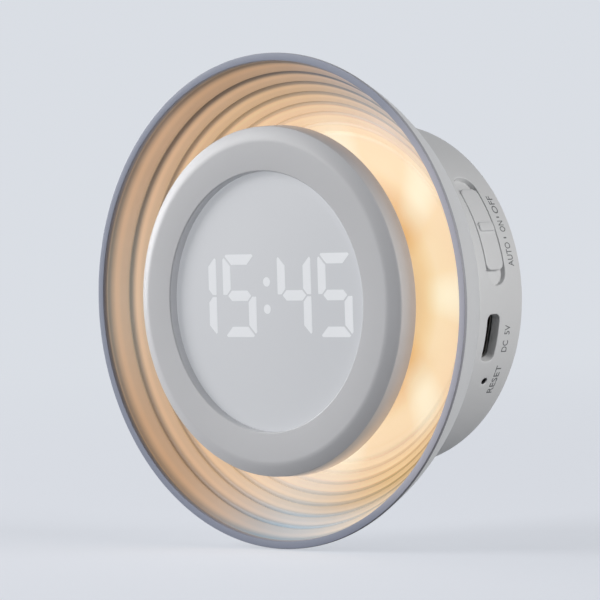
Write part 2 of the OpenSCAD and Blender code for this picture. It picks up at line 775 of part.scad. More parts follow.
module ribbon_cable() color([0.9, 0.9, 0.86]) on_wall()
    translate([0, ribbon_w / 2, 0]) rotate([90, 0, 0]) linear_extrude(ribbon_w) ribbon_profile();

module ribbon_sockets() color(black) on_wall() {
    translate([board_left + ribbon_entry, 0, board_front])
        block(0, ribbon_socket_l, ribbon_socket_w / 2, 0, ribbon_socket_h);
    translate([ribbon_x + ribbon_bend + ribbon_tail, 0, display_board_back - ribbon_socket_h])
        block(0, ribbon_socket_l, ribbon_socket_w / 2, 0, ribbon_socket_h);
}

module main_board() color(board_green) on_wall() difference() {
    intersection() {
        rod(board_edge_r, board_back, board_front);
        block(board_left, board_edge_r + over, board_half_h, board_back, board_front);
    }
    at_side(slider_angle) block(switch_in_r, board_edge_r + over, switch_l / 2,
        board_back - over, board_front + over);
    at_side(pinhole_angle) block(reset_in_r, board_edge_r + over, reset_w / 2,
        board_back - over, board_front + over);
    for (side = [-1, 1]) translate([board_screw_at[0], side * board_screw_at[1], 0])
        rod(screw_hole_r, board_back - over, board_front + over);
}

module board_screws() color(steel) on_wall() for (side = [-1, 1])
    translate([board_screw_at[0], side * board_screw_at[1], 0])
        screw(screw_head_r, screw_head_h, screw_pilot_r - touch, board_back,
            board_front + board_pilot_l - 2 * fit);

module board_chips() color(black) on_wall() {
    for (c = front_chips) translate([c[0], c[1], board_front]) block(-c[2], c[2], c[2], 0, c[3]);
    for (c = rear_chips) translate([c[0], c[1], board_back]) block(-c[2], c[2], c[2], -c[3], 0);
}

module usb_shell() color(steel) on_wall() at_side(socket_angle) translate([0, 0, socket_depth])
    difference() {
        side_bar(shell_h, shell_l, shell_corner, shell_in_r, shell_out_r);
        side_bar(shell_h - 2 * shell_t, shell_l - 2 * shell_t, shell_corner - shell_t,
            shell_in_r + shell_t, shell_out_r + over);
    }

module usb_tongue() color(black) on_wall() at_side(socket_angle)
    block(shell_in_r + shell_t, shell_out_r - tongue_sunk, tongue_w / 2,
        socket_depth - tongue_t / 2, socket_depth + tongue_t / 2);

module mode_slider() color(white) on_wall() at_side(slider_angle) {
    translate([0, 0, slider_depth]) {
        intersection() {
            tube(drum_r, drum_r - slider_plate_t, -slider_half_w, slider_half_w);
            side_bar(2 * slider_half_w, 2 * along(slider_half), slider_corner, 0, drum_r + over);
        }
        intersection() {
            tube(drum_r + rib_h, drum_r - slider_plate_t / 2, -slider_half_w + snug,
                slider_half_w - snug);
            block(0, drum_r + over, rib_w / 2, -slider_half_w, slider_half_w);
        }
    }
    difference() {
        union() {
            block(stalk_in_r, drum_r - slider_plate_t / 2, stalk_half,
                slider_depth - stalk_half_w, slider_depth + stalk_half_w);
            block(drum_in_r - fit - clip_t, drum_in_r - fit, stalk_half,
                slider_depth - clip_half_w, slider_depth + clip_half_w);
        }
        block(stalk_in_r - over, lever_end_r + fit, lever_half + snug,
            slider_depth - clip_half_w - over, slider_depth + clip_half_w + over);
    }
}

// A solder tab, which carries a switch in its notch on the front of the board
module switch_tab(r) {
    block(r - tab_l, r + touch, tab_half_w, board_front, board_front + tab_t);
}

module mode_switch() color(steel) on_wall() at_side(slider_angle) difference() {
    union() {
        block(switch_in_r, switch_out_r, switch_l / 2, slider_depth - switch_h / 2,
            slider_depth + switch_h / 2);
        for (y = mode_tabs) translate([0, y, 0]) switch_tab(switch_in_r);
    }
    block(lever_in_r - lever_play, switch_out_r + over, switch_slot_half,
        slider_depth - lever_half - snug, slider_depth + lever_half + snug);
}

module mode_switch_lever() color(black) on_wall() at_side(slider_angle)
    block(lever_in_r, lever_end_r, lever_half, slider_depth - lever_half, slider_depth + lever_half);

module reset_switch() color(black) on_wall() at_side(pinhole_angle) difference() {
    union() {
        block(reset_in_r, reset_out_r, reset_w / 2, pinhole_depth - reset_h / 2,
            pinhole_depth + reset_h / 2);
        for (y = reset_tabs) translate([0, y, 0]) switch_tab(reset_in_r);
    }
    translate([0, 0, pinhole_depth])
        side_rod(plunger_hole_r, plunger_in_r - reset_travel - snug, reset_out_r + over);
}

module reset_plunger() color([0.3, 0.3, 0.32]) on_wall() at_side(pinhole_angle)
    translate([0, 0, pinhole_depth]) side_rod(plunger_r, plunger_in_r, plunger_out_r);

module battery_cell() color([0.75, 0.77, 0.8]) on_wall()
    block(battery_left, battery_right, battery_h / 2, battery_back, battery_back + battery_t);

module battery_pad() color(black) on_wall()
    block(battery_left + 4, battery_right - 4, battery_h / 2 - 4, cover_t, battery_back);

// Smooth points through a route, and the rings of a tube swept along them
function smooth(p, i, t) = let (a = p[max(i - 1, 0)], b = p[i], c = p[i + 1],
    d = p[min(i + 2, len(p) - 1)]) b + t * (c - a) / 2
    + t * t * (a - 2.5 * b + 2 * c - d / 2) + t * t * t * (1.5 * (b - c) + (d - a) / 2);
function path(p) = concat([for (i = [0:len(p) - 2], k = [0:lead_steps - 1])
    smooth(p, i, k / lead_steps)], [p[len(p) - 1]]);
function heading(q, i) = let (v = i == 0 || i == len(q) - 1 ? [1, 0, 0]
    : q[i + 1] - q[i - 1]) v / norm(v);
function lead_ring(q, i) = let (u = heading(q, i), s = cross([0, 0, 1], u), n = s / norm(s))
    [for (k = [0:lead_sides - 1]) let (a = 360 * k / lead_sides)
        q[i] + lead_r * (cos(a) * n + sin(a) * cross(u, n))];

module lead(route) {
    q = path(route);
    rings = [for (i = [0:len(q) - 1]) each lead_ring(q, i)];
    sides = [for (i = [0:len(q) - 2], k = [0:lead_sides - 1]) let (m = (k + 1) % lead_sides,
        b = i * lead_sides) each [[b + k, b + k + lead_sides, b + m],
            [b + m, b + k + lead_sides, b + m + lead_sides]]];
    ends = [[for (k = [0:lead_sides - 1]) k],
        [for (k = [lead_sides - 1:-1:0]) (len(q) - 1) * lead_sides + k]];
    polyhedron(rings, concat(sides, ends));
}

module battery_leads() color("firebrick") on_wall() for (route = lead_routes) lead(route);

module battery_plug() color([0.9, 0.88, 0.8]) on_wall() translate([0, plug_at[1], 0])
    block(plug_at[0], plug_at[0] + plug_size[0], plug_size[1] / 2, board_back - plug_size[2],
        board_back);

module cap(row) {
    translate([cap_x, row * cap_pitch, 0]) {
        rod(cap_r, cap_sunk, cap_flange_back + touch);
        rod(cap_flange_r, cap_flange_back, cap_flange_back + cap_flange_t);
        rod(cap_post_r, cap_flange_back, cap_post_end);
    }
}

module set_button() color(white) on_wall() cap(1);

module up_button() color(white) on_wall() cap(0);

module down_button() color(white) on_wall() cap(-1);

module button_domes() color(steel) on_wall() for (row = [-1:1])
    translate([cap_x, row * cap_pitch, 0]) rod(dome_r, board_back - dome_h, board_back);

reflector_bowl();
base_housing();
rear_cover();
cover_screws();
neck();
neck_rear_screws();
neck_front_screws();
puck_back();
puck_screws();
bezel_ring();
display_window();
segment_mask();
segment_guides();
display_leds();
display_board();
display_chip();
ambient_sensor();
light_board();
light_leds();
diffuser_ring();
ribbon_cable();
ribbon_sockets();
main_board();
board_screws();
board_chips();
usb_shell();
usb_tongue();
mode_slider();
mode_switch();
mode_switch_lever();
reset_switch();
reset_plunger();
battery_cell();
battery_pad();
battery_leads();
battery_plug();
set_button();
up_button();
down_button();
button_domes();
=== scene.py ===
"""The looks of a night light clock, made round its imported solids, in metres."""
import math
import bmesh
import bpy
from mathutils import Matrix, Vector
from mathutils.geometry import delaunay_2d_cdt


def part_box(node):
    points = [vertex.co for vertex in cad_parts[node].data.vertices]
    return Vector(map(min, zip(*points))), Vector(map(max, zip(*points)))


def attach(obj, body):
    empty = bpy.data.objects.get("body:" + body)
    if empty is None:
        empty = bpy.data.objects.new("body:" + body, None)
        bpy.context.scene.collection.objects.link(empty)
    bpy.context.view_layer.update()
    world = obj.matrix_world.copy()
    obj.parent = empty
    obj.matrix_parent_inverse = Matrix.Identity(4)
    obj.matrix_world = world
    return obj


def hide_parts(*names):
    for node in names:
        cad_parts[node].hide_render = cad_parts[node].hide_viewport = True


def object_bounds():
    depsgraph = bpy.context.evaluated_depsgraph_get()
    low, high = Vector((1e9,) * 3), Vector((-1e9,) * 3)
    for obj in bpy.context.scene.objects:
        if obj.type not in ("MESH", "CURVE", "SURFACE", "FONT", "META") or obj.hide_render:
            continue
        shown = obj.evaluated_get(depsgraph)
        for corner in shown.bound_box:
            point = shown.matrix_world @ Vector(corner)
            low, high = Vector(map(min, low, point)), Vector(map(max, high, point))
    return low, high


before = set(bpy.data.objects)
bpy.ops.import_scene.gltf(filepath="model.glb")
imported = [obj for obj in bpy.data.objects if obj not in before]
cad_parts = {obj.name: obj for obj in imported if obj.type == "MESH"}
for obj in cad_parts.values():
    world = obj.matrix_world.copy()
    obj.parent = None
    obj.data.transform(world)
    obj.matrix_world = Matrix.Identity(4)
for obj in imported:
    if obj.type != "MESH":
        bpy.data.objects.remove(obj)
solid_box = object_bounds()

# Camera
# The clock is seen from its right and from a little above, through a long lens, as in
# the photograph. The camera leans by nearly two degrees.
def put(name, data):
    """Makes an object of some data and puts it in the scene."""
    placed = bpy.data.objects.new(name, data)
    bpy.context.scene.collection.objects.link(placed)
    return placed


view_turn = math.radians(42.172)
view_rise = math.radians(1.484)
view_roll = math.radians(-1.777)
eye = Vector((0.54464, -0.62913, 0.02097))
camera_back = Vector((math.sin(view_turn) * math.cos(view_rise),
                      -math.cos(view_turn) * math.cos(view_rise), math.sin(view_rise)))
level = Vector((math.cos(view_turn), math.sin(view_turn), 0))
upright = camera_back.cross(level)
camera_right = math.cos(view_roll) * level + math.sin(view_roll) * upright
camera_up = math.cos(view_roll) * upright - math.sin(view_roll) * level
lens = bpy.data.cameras.new("long_lens")
lens.lens = 240
lens.sensor_width = 36
lens.clip_start = 0.02
camera = put("camera", lens)
turn_matrix = Matrix((camera_right, camera_up, camera_back)).transposed()
camera.matrix_world = Matrix.Translation(eye) @ turn_matrix.to_4x4()
bpy.context.scene.camera = camera
bpy.context.scene.view_settings.view_transform = "Standard"


# Studio
# A plain pale floor stands just under the clock. A large soft lamp stands up to the left
# in front, a second one low at the left side and a third at the right side.
def fed(tree, node, inputs):
    """Sets or links a node's inputs, and returns its outputs."""
    for key, value in inputs.items():
        if isinstance(value, bpy.types.NodeSocket):
            tree.links.new(value, node.inputs[key])
        else:
            node.inputs[key].default_value = value
    return node.outputs


def add(tree, kind, inputs=None, out=0, **settings):
    """Adds a node, sets or links its inputs, and returns one of its outputs."""
    made = tree.nodes.new(kind)
    for key, value in settings.items():
        setattr(made, key, value)
    return fed(tree, made, inputs or {})[out]


def maths(tree, operation, *values):
    return add(tree, "ShaderNodeMath", dict(enumerate(values)), operation=operation)


def mixed(tree, share, one, two):
    """A colour that goes from one to two as share goes from nought to one."""
    return add(tree, "ShaderNodeMix", {0: share, 6: one, 7: two}, out=2, data_type="RGBA")


def ranged(tree, value, low, high, curve="LINEAR"):
    """Nought where value is at low, one where it is at high."""
    return add(tree, "ShaderNodeMapRange", {"Value": value, "From Min": low, "From Max": high},
               interpolation_type=curve)


def on_shader(finish, inputs):
    """Sets or links inputs of a finish's own shader."""
    fed(finish.node_tree, finish.node_tree.nodes["Principled BSDF"], inputs)
    return finish


flow_scale = 70.0
sheen_spread = 0.08
pit_height = 0.00005


def moulded(name, colour, rough, mottle=0.03, grain=0.12, grain_size=0.0005, gloss=0.5):
    """Spark-eroded moulded plastic: a faint flow mottle and a fine matte grain."""
    finish = bpy.data.materials.new(name)
    finish.use_nodes = True
    tree = finish.node_tree
    place = add(tree, "ShaderNodeTexCoord", out="Object")
    cloud = add(tree, "ShaderNodeTexNoise", {"Vector": place, "Scale": flow_scale, "Detail": 4.0})
    dark = [c * (1 - mottle) for c in colour] + [1]
    light = [c * (1 + mottle) for c in colour] + [1]
    pits = add(tree, "ShaderNodeTexNoise", {"Vector": place, "Scale": 1 / grain_size, "Detail": 2.0})
    sheen = add(tree, "ShaderNodeMapRange", {"Value": pits, "To Min": rough - sheen_spread,
                                             "To Max": rough + sheen_spread})
    relief = add(tree, "ShaderNodeBump", {"Strength": grain, "Distance": pit_height, "Height": pits})
    return on_shader(finish, {"Base Color": mixed(tree, cloud, dark, light), "Roughness": sheen,
                              "Normal": relief, "Specular IOR Level": gloss})


lamp_distance = 2.0
lamp_colour = (1.0, 0.99, 0.98)
for name, direction, size, strength in (
        ("key_softbox", (-0.70, -0.60, 0.38), 1.4, 0.88), ("left_softbox", (-0.96, 0.0, 0.22), 1.0, 0.40),
        ("right_softbox", (0.96, 0.10, 0.23), 1.0, 0.80)):
    lamp = bpy.data.lights.new(name, "AREA")
    lamp.size = size
    lamp.energy = strength * (math.pi * lamp_distance) ** 2
    lamp.color = lamp_colour
    holder = put(name, lamp)
    aim = Vector(direction).normalized()
    facing_clock = aim.to_track_quat("Z", "Y").to_matrix().to_4x4()
    holder.matrix_world = Matrix.Translation(aim * lamp_distance) @ facing_clock
    holder.visible_camera = False


def seen_room(tree):
    """One for rays that see the room itself, nought for those that gather its light."""
    paths = tree.nodes.new("ShaderNodeLightPath").outputs
    seen = maths(tree, "MAXIMUM", paths["Is Camera Ray"], paths["Is Glossy Ray"])
    return maths(tree, "MAXIMUM", seen, paths["Is Transmission Ray"])


far_colour = (0.70, 0.73, 0.78, 1)
near_colour = (0.49, 0.51, 0.55, 1)
fill_colour = (0.82, 0.9, 1.0, 1)
fill_strength = 0.02
room = bpy.data.worlds.new("studio_room")
room.use_nodes = True
sky = room.node_tree
fill = add(sky, "ShaderNodeBackground", {"Color": fill_colour, "Strength": fill_strength})
pale = add(sky, "ShaderNodeBackground", {"Color": far_colour, "Strength": 1.0})
both = add(sky, "ShaderNodeMixShader", {0: seen_room(sky), 1: fill, 2: pale})
sky.links.new(both, sky.nodes["World Output"].inputs["Surface"])
bpy.context.scene.world = room

floor_half = 6.0
floor_gap = 0.0002
fade_start = 0.12
fade_end = 0.9
floor_z = solid_box[0][2] - floor_gap
floor_mesh = bpy.data.meshes.new("studio_floor")
floor_mesh.from_pydata([(x * floor_half, y * floor_half, floor_z)
                        for x, y in ((-1, -1), (1, -1), (1, 1), (-1, 1))], [], [(0, 1, 2, 3)])
studio_floor = put("studio_floor", floor_mesh)
floor_paint = moulded("pale_floor", (0.27, 0.28, 0.30), 0.9, 0.01, 0.0, gloss=0.1)
tree = floor_paint.node_tree
seen = seen_room(tree)
near_part = add(tree, "ShaderNodeEmission", {"Color": near_colour, "Strength": seen})
near_part = add(tree, "ShaderNodeAddShader", {0: tree.nodes["Principled BSDF"].outputs[0], 1: near_part})
far_part = add(tree, "ShaderNodeEmission", {"Color": far_colour, "Strength": seen})
floor_place = add(tree, "ShaderNodeTexCoord", out="Object")
distance = add(tree, "ShaderNodeVectorMath", {0: floor_place}, out="Value", operation="LENGTH")
fade = ranged(tree, distance, fade_start, fade_end, "SMOOTHSTEP")
paint = add(tree, "ShaderNodeMixShader", {0: fade, 1: near_part, 2: far_part})
tree.links.new(paint, tree.nodes["Material Output"].inputs["Surface"])
floor_mesh.materials.append(floor_paint)


# Drum
# The real piece is a short white drum, moulded in one. It has a ledge inside for the rear
# cover, and in its side a long recess for the slider, the socket's cut-out and a pinhole.
MM = 0.001
drum_r = 35.4
drum_front = 13.63
drum_inner = 33.4
drum_ledge = 31.9
rebate_r = 34.2
ledge_front = 3.4
ledge_rear = 2
mid_drum = 5
edge_ease = 0.25


def at(radius, turn, depth):
    """A place given by its distance from the axis, its turn from three o'clock in
    degrees and its distance from the wall, in millimetres."""
    a = math.radians(turn)
    return Vector((radius * math.cos(a), -depth, radius * math.sin(a))) * MM


def smoothed(name, mesh, sharp):
    """Shades a mesh smooth between its sharp edges and puts it in the scene."""
    mesh.name = name
    mesh.shade_smooth()
    mesh.set_sharp_from_angle(angle=math.radians(sharp))
    return put(name, mesh)


def finished(name, mesh_in, finish, sharp=32):
    """Merges and closes a mesh, turns its faces outwards and makes it an object."""
    bmesh.ops.remove_doubles(mesh_in, verts=mesh_in.verts, dist=2e-6)
    bmesh.ops.recalc_face_normals(mesh_in, faces=mesh_in.faces)
    mesh = bpy.data.meshes.new(name)
    mesh_in.to_mesh(mesh)
    mesh_in.free()
    mesh.materials.append(finish)
    return smoothed(name, mesh, sharp)


def eased(corners, steps=4):
    """Rounds the corners of an outline. Each is (radius, depth, rounding)."""
    points = []
    for i, (x, y, rounding) in enumerate(corners):
        here = Vector((x, y))
        if not rounding:
            points.append((x, y))
            continue
        to_last = (Vector(corners[i - 1][:2]) - here).normalized()
        to_next = (Vector(corners[(i + 1) % len(corners)][:2]) - here).normalized()
        half = to_last.angle(to_next) / 2
        centre = here + (to_last + to_next).normalized() * rounding / math.sin(half)
        start = here + to_last * rounding / math.tan(half) - centre
        stop = here + to_next * rounding / math.tan(half) - centre
        first = math.atan2(start.y, start.x)
        sweep = (math.atan2(stop.y, stop.x) - first + math.pi) % (2 * math.pi) - math.pi
        for s in range(steps + 1):
            a = first + sweep * s / steps
            points.append((centre.x + rounding * math.cos(a), centre.y + rounding * math.sin(a)))
    return points


def turn_outline(mesh_in, outline, closed=True, steps=192):
    """Turns an outline of (radius, depth) points round the clock's axis."""
    rings = [[mesh_in.verts.new(at(r, 360 * i / steps - 180, d)) for r, d in outline]
             for i in range(steps)]
    last = len(outline) if closed else len(outline) - 1
    for i in range(steps):
        one, two = rings[i], rings[(i + 1) % steps]
        for j in range(last):
            k = (j + 1) % len(outline)
            if outline[j][0] > 0 or outline[k][0] > 0:
                mesh_in.faces.new((one[j], one[k], two[k], two[j]))


corner_steps = 8
longest_edge = 0.9


def rounded_bar(turn, depth, half_l, half_w, corner, grow=0.0):
    """A round-cornered bar on the drum's side, as (turn in degrees, depth) points."""
    points = []
    for quarter, (sx, sy) in enumerate(((1, 1), (-1, 1), (-1, -1), (1, -1))):
        for s in range(corner_steps + 1):
            a = math.radians(90 * quarter + 90 * s / corner_steps)
            x = sx * (half_l - corner) + (corner + grow) * math.cos(a)
            y = sy * (half_w - corner) + (corner + grow) * math.sin(a)
            points.append((turn + math.degrees(x / drum_r), depth + y))
    full = []
    for i, (t, d) in enumerate(points):
        next_t, next_d = points[(i + 1) % len(points)]
        length = math.hypot(math.radians(next_t - t) * drum_r, next_d - d)
        parts = max(1, math.ceil(length / longest_edge))
        full += [(t + (next_t - t) * p / parts, d + (next_d - d) * p / parts) for p in range(parts)]
    return full


def inside(point, outline):
    hit = False
    for i, (x1, y1) in enumerate(outline):
        x2, y2 = outline[i - 1]
        if (y1 > point[1]) != (y2 > point[1]):
            hit ^= point[0] < (x2 - x1) * (point[1] - y1) / (y2 - y1) + x1
    return hit


def rolled(turn, depth):
    """A place on the drum's side with the side rolled out flat, in millimetres."""
    return Vector((turn * drum_r * math.pi / 180, depth))


def unrolled(spot):
    return spot.x * 180 / math.pi / drum_r, spot.y


def side_skin(mesh_in, radius, outline, holes, spacing):
    """Fills an outline on the drum's side, at one radius, and leaves its holes open."""
    flat = list(outline)
    edges = [(i, (i + 1) % len(outline)) for i in range(len(outline))]
    for hole in holes:
        first = len(flat)
        flat += hole
        edges += [(first + i, first + (i + 1) % len(hole)) for i in range(len(hole))]
    step = math.degrees(spacing / drum_r)
    lows = [min(p[i] for p in outline) for i in (0, 1)]
    highs = [max(p[i] for p in outline) for i in (0, 1)]
    near = spacing * 0.35
    taken = [rolled(t, d) for t, d in flat]
    columns = int((highs[0] - lows[0]) / step)
    rows = int((highs[1] - lows[1]) / spacing)
    for i in range(1, columns):
        for j in range(1, rows):
            t = lows[0] + (highs[0] - lows[0]) * i / columns
            d = lows[1] + (highs[1] - lows[1]) * j / rows
            if not inside((t, d), outline) or any(inside((t, d), hole) for hole in holes):
                continue
            spot = rolled(t, d)
            if all(abs(spot.x - q.x) + abs(spot.y - q.y) > near for q in taken):
                flat.append((t, d))
    made = delaunay_2d_cdt([rolled(t, d) for t, d in flat], edges, [], 0, 1e-6)
    corners = [mesh_in.verts.new(at(radius, *unrolled(q))) for q in made[0]]
    for face in made[2]:
        spot = unrolled(sum((made[0][i] for i in face), Vector((0, 0))) / len(face))
        if inside(spot, outline) and not any(inside(spot, hole) for hole in holes):
            mesh_in.faces.new([corners[i] for i in face])


def side_wall(mesh_in, loops):
    """Joins loops of (radius, outline) on the drum's side, one to the next."""
    rows = [[mesh_in.verts.new(at(radius, t, d)) for t, d in outline] for radius, outline in loops]
    for one, two in zip(rows, rows[1:]):
        for i in range(len(one)):
            j = (i + 1) % len(one)
            mesh_in.faces.new((one[i], one[j], two[j], two[i]))


def eased_mouth(bar, out_r, in_r, ease, steps=3):
    """The loops of an opening: a rounded edge at out_r, then straight in to in_r."""
    loops = []
    for s in range(steps + 1):
        a = math.radians(90 * s / steps)
        loops.append((out_r - ease * (1 - math.cos(a)), rounded_bar(*bar, ease * (1 - math.sin(a)))))
    loops.append((in_r, rounded_bar(*bar)))
    return loops


def band(low, high, parts=192):
    """The whole of the drum's side from one depth to another, as one outline."""
    turns = [360 * i / parts - 180 for i in range(parts + 1)]
    return [(t, low) for t in turns] + [(t, high) for t in reversed(turns)]


slider_recess = (22.7, 7.75, 12.1, 2.9, 2.85)
stalk_slot = (22.7, 7.75, 4.2, 0.95, 0.3)
socket_mouth = (-14.2, 8.88, 4.88, 1.915, 1.3)
pinhole = (-29.6, 7.3, 0.75, 0.75, 0.7499)
recess_floor = 34.3
hole_ease = 0.18
drum = bmesh.new()
side_skin(drum, drum_r, band(edge_ease, drum_front - edge_ease),
          [rounded_bar(*bar, hole_ease) for bar in (slider_recess, socket_mouth, pinhole)], 1.1)
side_wall(drum, eased_mouth(slider_recess, drum_r, recess_floor, hole_ease))
side_skin(drum, recess_floor, rounded_bar(*slider_recess), [rounded_bar(*stalk_slot)], 0.9)
side_wall(drum, [(r, rounded_bar(*stalk_slot)) for r in (recess_floor, drum_inner)])
for bar in (socket_mouth, pinhole):
    side_wall(drum, eased_mouth(bar, drum_r, drum_inner, hole_ease))
side_skin(drum, drum_inner, band(ledge_front, drum_front - hole_ease),
          [rounded_bar(*bar) for bar in (stalk_slot, socket_mouth, pinhole)], 1.6)
front_end = [(drum_r, mid_drum, 0), (drum_r, drum_front, edge_ease), (drum_inner, drum_front, hole_ease),
             (drum_inner, mid_drum, 0)]
rear_end = [(drum_inner, mid_drum, 0), (drum_inner, ledge_front, 0), (drum_ledge, ledge_front, 0),
            (drum_ledge, ledge_rear, 0), (rebate_r, ledge_rear, 0), (rebate_r, 0, 0.15),
            (drum_r, 0, edge_ease), (drum_r, mid_drum, 0)]
for end in (front_end, rear_end):
    turn_outline(drum, eased(end)[1:-1], closed=False)
white_shell = moulded("white_shell_plastic", (0.61, 0.615, 0.62), 0.48)
drum_shell = finished("drum_shell", drum, white_shell)
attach(drum_shell, "case")
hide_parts("base_housing")


# Printed words
# Grey pad-printed capitals on the drum's side name the slider's three places, the socket
# and the pinhole. The ink stands a few hundredths of a millimetre proud.
ink_proud = 0.03
switch_row = (1.83, 3.46)
socket_row = (3.4, 5.0)
tick_shape = (2.75, 0.15, 0.4, 0.1)


def printed(words, turn_low, turn_high, depth_low, depth_high):
    """Words that read round the drum, with their tops towards the front."""
    letters = bpy.data.curves.new("letters", "FONT")
    letters.body = words
    letters.extrude = 0.1
    letters.resolution_u = 4
    holder = bpy.data.objects.new("letters", letters)
    flat = bpy.data.meshes.new_from_object(holder)
    lows = [min(v.co[i] for v in flat.vertices) for i in (0, 1)]
    highs = [max(v.co[i] for v in flat.vertices) for i in (0, 1)]
    for v in flat.vertices:
        across = (v.co.x - lows[0]) / (highs[0] - lows[0])
        rise = (v.co.y - lows[1]) / (highs[1] - lows[1])
        proud = ink_proud if v.co.z > 0 else -ink_proud
        v.co = at(drum_r + proud, turn_low + (turn_high - turn_low) * across,
                  depth_low + (depth_high - depth_low) * rise)
    bpy.data.objects.remove(holder)
    return flat


ink = bmesh.new()
for words, turn_low, turn_high, row in (
        ("AUTO", 9.1, 17.1, switch_row), ("ON", 20.8, 24.7, switch_row), ("OFF", 27.4, 34.0, switch_row),
        ("DC", -19.2, -15.3, socket_row), ("5V", -13.3, -10.1, socket_row),
        ("RESET", -34.3, -24.0, socket_row)):
    ink.from_mesh(printed(words, turn_low, turn_high, *row))
for turn in (18.7, 26.0):
    tick = rounded_bar(turn, *tick_shape)
    side_wall(ink, [(drum_r - ink_proud, tick), (drum_r + ink_proud, tick)])
    for radius in (drum_r + ink_proud, drum_r - ink_proud):
        side_skin(ink, radius, tick, [], 5)
grey_ink = moulded("grey_ink", (0.10, 0.105, 0.11), 0.6, 0.08, 0.05, 0.0002)
printed_words = finished("printed_words", ink, grey_ink)
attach(printed_words, "case")


# Mode slider
# A curved white plate that slides along its recess from OFF to ON and AUTO. A thumb rib
# stands across its middle, and a stalk under it reaches the switch.
slider_plate = (22.7, 7.75, 9.0, 2.65, 1.5)
thumb_rib = (22.7, 7.75, 0.925, 2.2, 0.45)
slider_stalk = (22.7, 7.75, 1.9, 0.85, 0.2)
plate_low = 34.45
stalk_ends = (31.8, plate_low + 0.2)
rib_top = drum_r + 0.45
plate_ease = 0.22
rib_ease = 0.2
plate = bmesh.new()
plate_edge = [(plate_low, rounded_bar(*slider_plate))]
rib_foot = []
rib_head = []
for s in range(4):
    a = math.radians(30 * s)
    less_cosine = 1 - math.cos(a)
    less_sine = 1 - math.sin(a)
    plate_edge.append((drum_r - plate_ease * less_sine,
                       rounded_bar(*slider_plate, -plate_ease * less_cosine)))
    rib_foot.append((drum_r + rib_ease * less_cosine, rounded_bar(*thumb_rib, rib_ease * less_sine)))
    rib_head.append((rib_top - rib_ease * less_sine, rounded_bar(*thumb_rib, -rib_ease * less_cosine)))
side_wall(plate, plate_edge)
side_wall(plate, rib_foot + rib_head)
side_skin(plate, drum_r, plate_edge[-1][1], [rib_foot[0][1]], 0.7)
side_skin(plate, rib_top, rib_head[-1][1], [], 0.5)
side_skin(plate, plate_low, plate_edge[0][1], [], 0.9)
for radius in stalk_ends:
    side_skin(plate, radius, rounded_bar(*slider_stalk), [], 0.6)
side_wall(plate, [(r, rounded_bar(*slider_stalk)) for r in stalk_ends])
slider_finish = moulded("white_slider_plastic", (0.62, 0.625, 0.63), 0.42)
slider_piece = finished("slider_plate", plate, slider_finish)
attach(slider_piece, "slider")
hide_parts("mode_slider")


# Reflector bowl
# The wide bowl is moulded in one with its flat lip and the skirt that meets the drum.
# Eight grooves are turned into its inside, and the lamps' warm light on it is painted in as glow.
rim_r = 50.0
rim_depth = 35.7
mouth_r = 48.25
mouth_depth = 34.9
bowl_floor_r = 13.6
bowl_floor_depth = 10.4
cable_hole_r = 5.2
floor_middle_r = 9.4
bowl_wall = 2.1
seen_wall = 1.5
bowl_rise = mouth_depth - bowl_floor_depth
bowl_curve_r = ((mouth_r - bowl_floor_r) ** 2 + bowl_rise ** 2) / (2 * bowl_rise)
bowl_curve_z = bowl_floor_depth + bowl_curve_r
bowl_outer_r = bowl_curve_r + bowl_wall
seen_outer_r = bowl_curve_r + seen_wall
lip_height = 0.7
lip_inner_r = 48.5
lip_back = rim_depth - lip_height
lip_back_r = rim_r - 0.3
groove_count = 8
groove_pitch = 2.06
groove_width = 0.9
groove_depth = 0.6
groove_shift = 0.12
first_groove_share = 0.3
turned_from_r = 31
band_sag = 0.16
skirt_meet_r = drum_r + 0.35
skirt_end = 13.73
spigot_r = 33.2
spigot_end = 11.35
spigot_inner = 31.7
spigot_foot = 12.2
round_steps = 216
floor_steps = 28
band_steps = 9
wall_steps = 26
under_steps = 14
bowl_sharp = 62


def bowl_angle(radius, curve_r):
    return -math.acos((radius - bowl_floor_r) / curve_r)


def bowl_arc(curve_r, first, last, steps):
    """Points of the bowl's round section between two angles, without the last."""
    angles = [first + (last - first) * i / steps for i in range(steps)]
    return [(bowl_floor_r + curve_r * math.cos(a), bowl_curve_z + curve_r * math.sin(a)) for a in angles]


inner_line = [(cable_hole_r, bowl_floor_depth), (floor_middle_r, bowl_floor_depth)]
start = -math.pi / 2
for k in range(groove_count - 1, -1, -1):
    middle = bowl_angle(mouth_r - groove_shift - groove_pitch * k, bowl_curve_r)
    half = 0.5 * groove_width / bowl_curve_r
    steps = floor_steps if k == groove_count - 1 else band_steps
    inner_line += bowl_arc(bowl_curve_r, start, middle - half, steps)
    for part in (-1, -0.66, -0.33, 0, 0.33, 0.66):
        inner_line += bowl_arc(bowl_curve_r, middle + half * part, 0, 1)
    start = min(middle + half, bowl_angle(mouth_r, bowl_curve_r) - 0.0005)
inner_line += bowl_arc(bowl_curve_r, start, bowl_angle(mouth_r, bowl_curve_r), 2)
inner_line.append((mouth_r, mouth_depth))
lip = eased([(mouth_r, mouth_depth, 0), (lip_inner_r, rim_depth, 0.12), (rim_r, rim_depth, 0.14),
             (rim_r, lip_back, 0.08), (lip_back_r, lip_back, 0)])[1:-1]
outer_line = bowl_arc(seen_outer_r, bowl_angle(lip_back_r, seen_outer_r),
                      bowl_angle(skirt_meet_r, seen_outer_r), wall_steps)
skirt_top = bowl_curve_z - math.sqrt(seen_outer_r ** 2 - (drum_r - bowl_floor_r) ** 2)
skirt = eased([(drum_r + 3, skirt_top + 2.2, 0), (drum_r, skirt_top + 0.15, 0.3), (drum_r, skirt_end, 0.2),
               (spigot_r, skirt_end, 0), (spigot_r, spigot_end, 0.3), (spigot_inner, spigot_end, 0.2),
               (spigot_inner, spigot_foot, 0)])[1:]
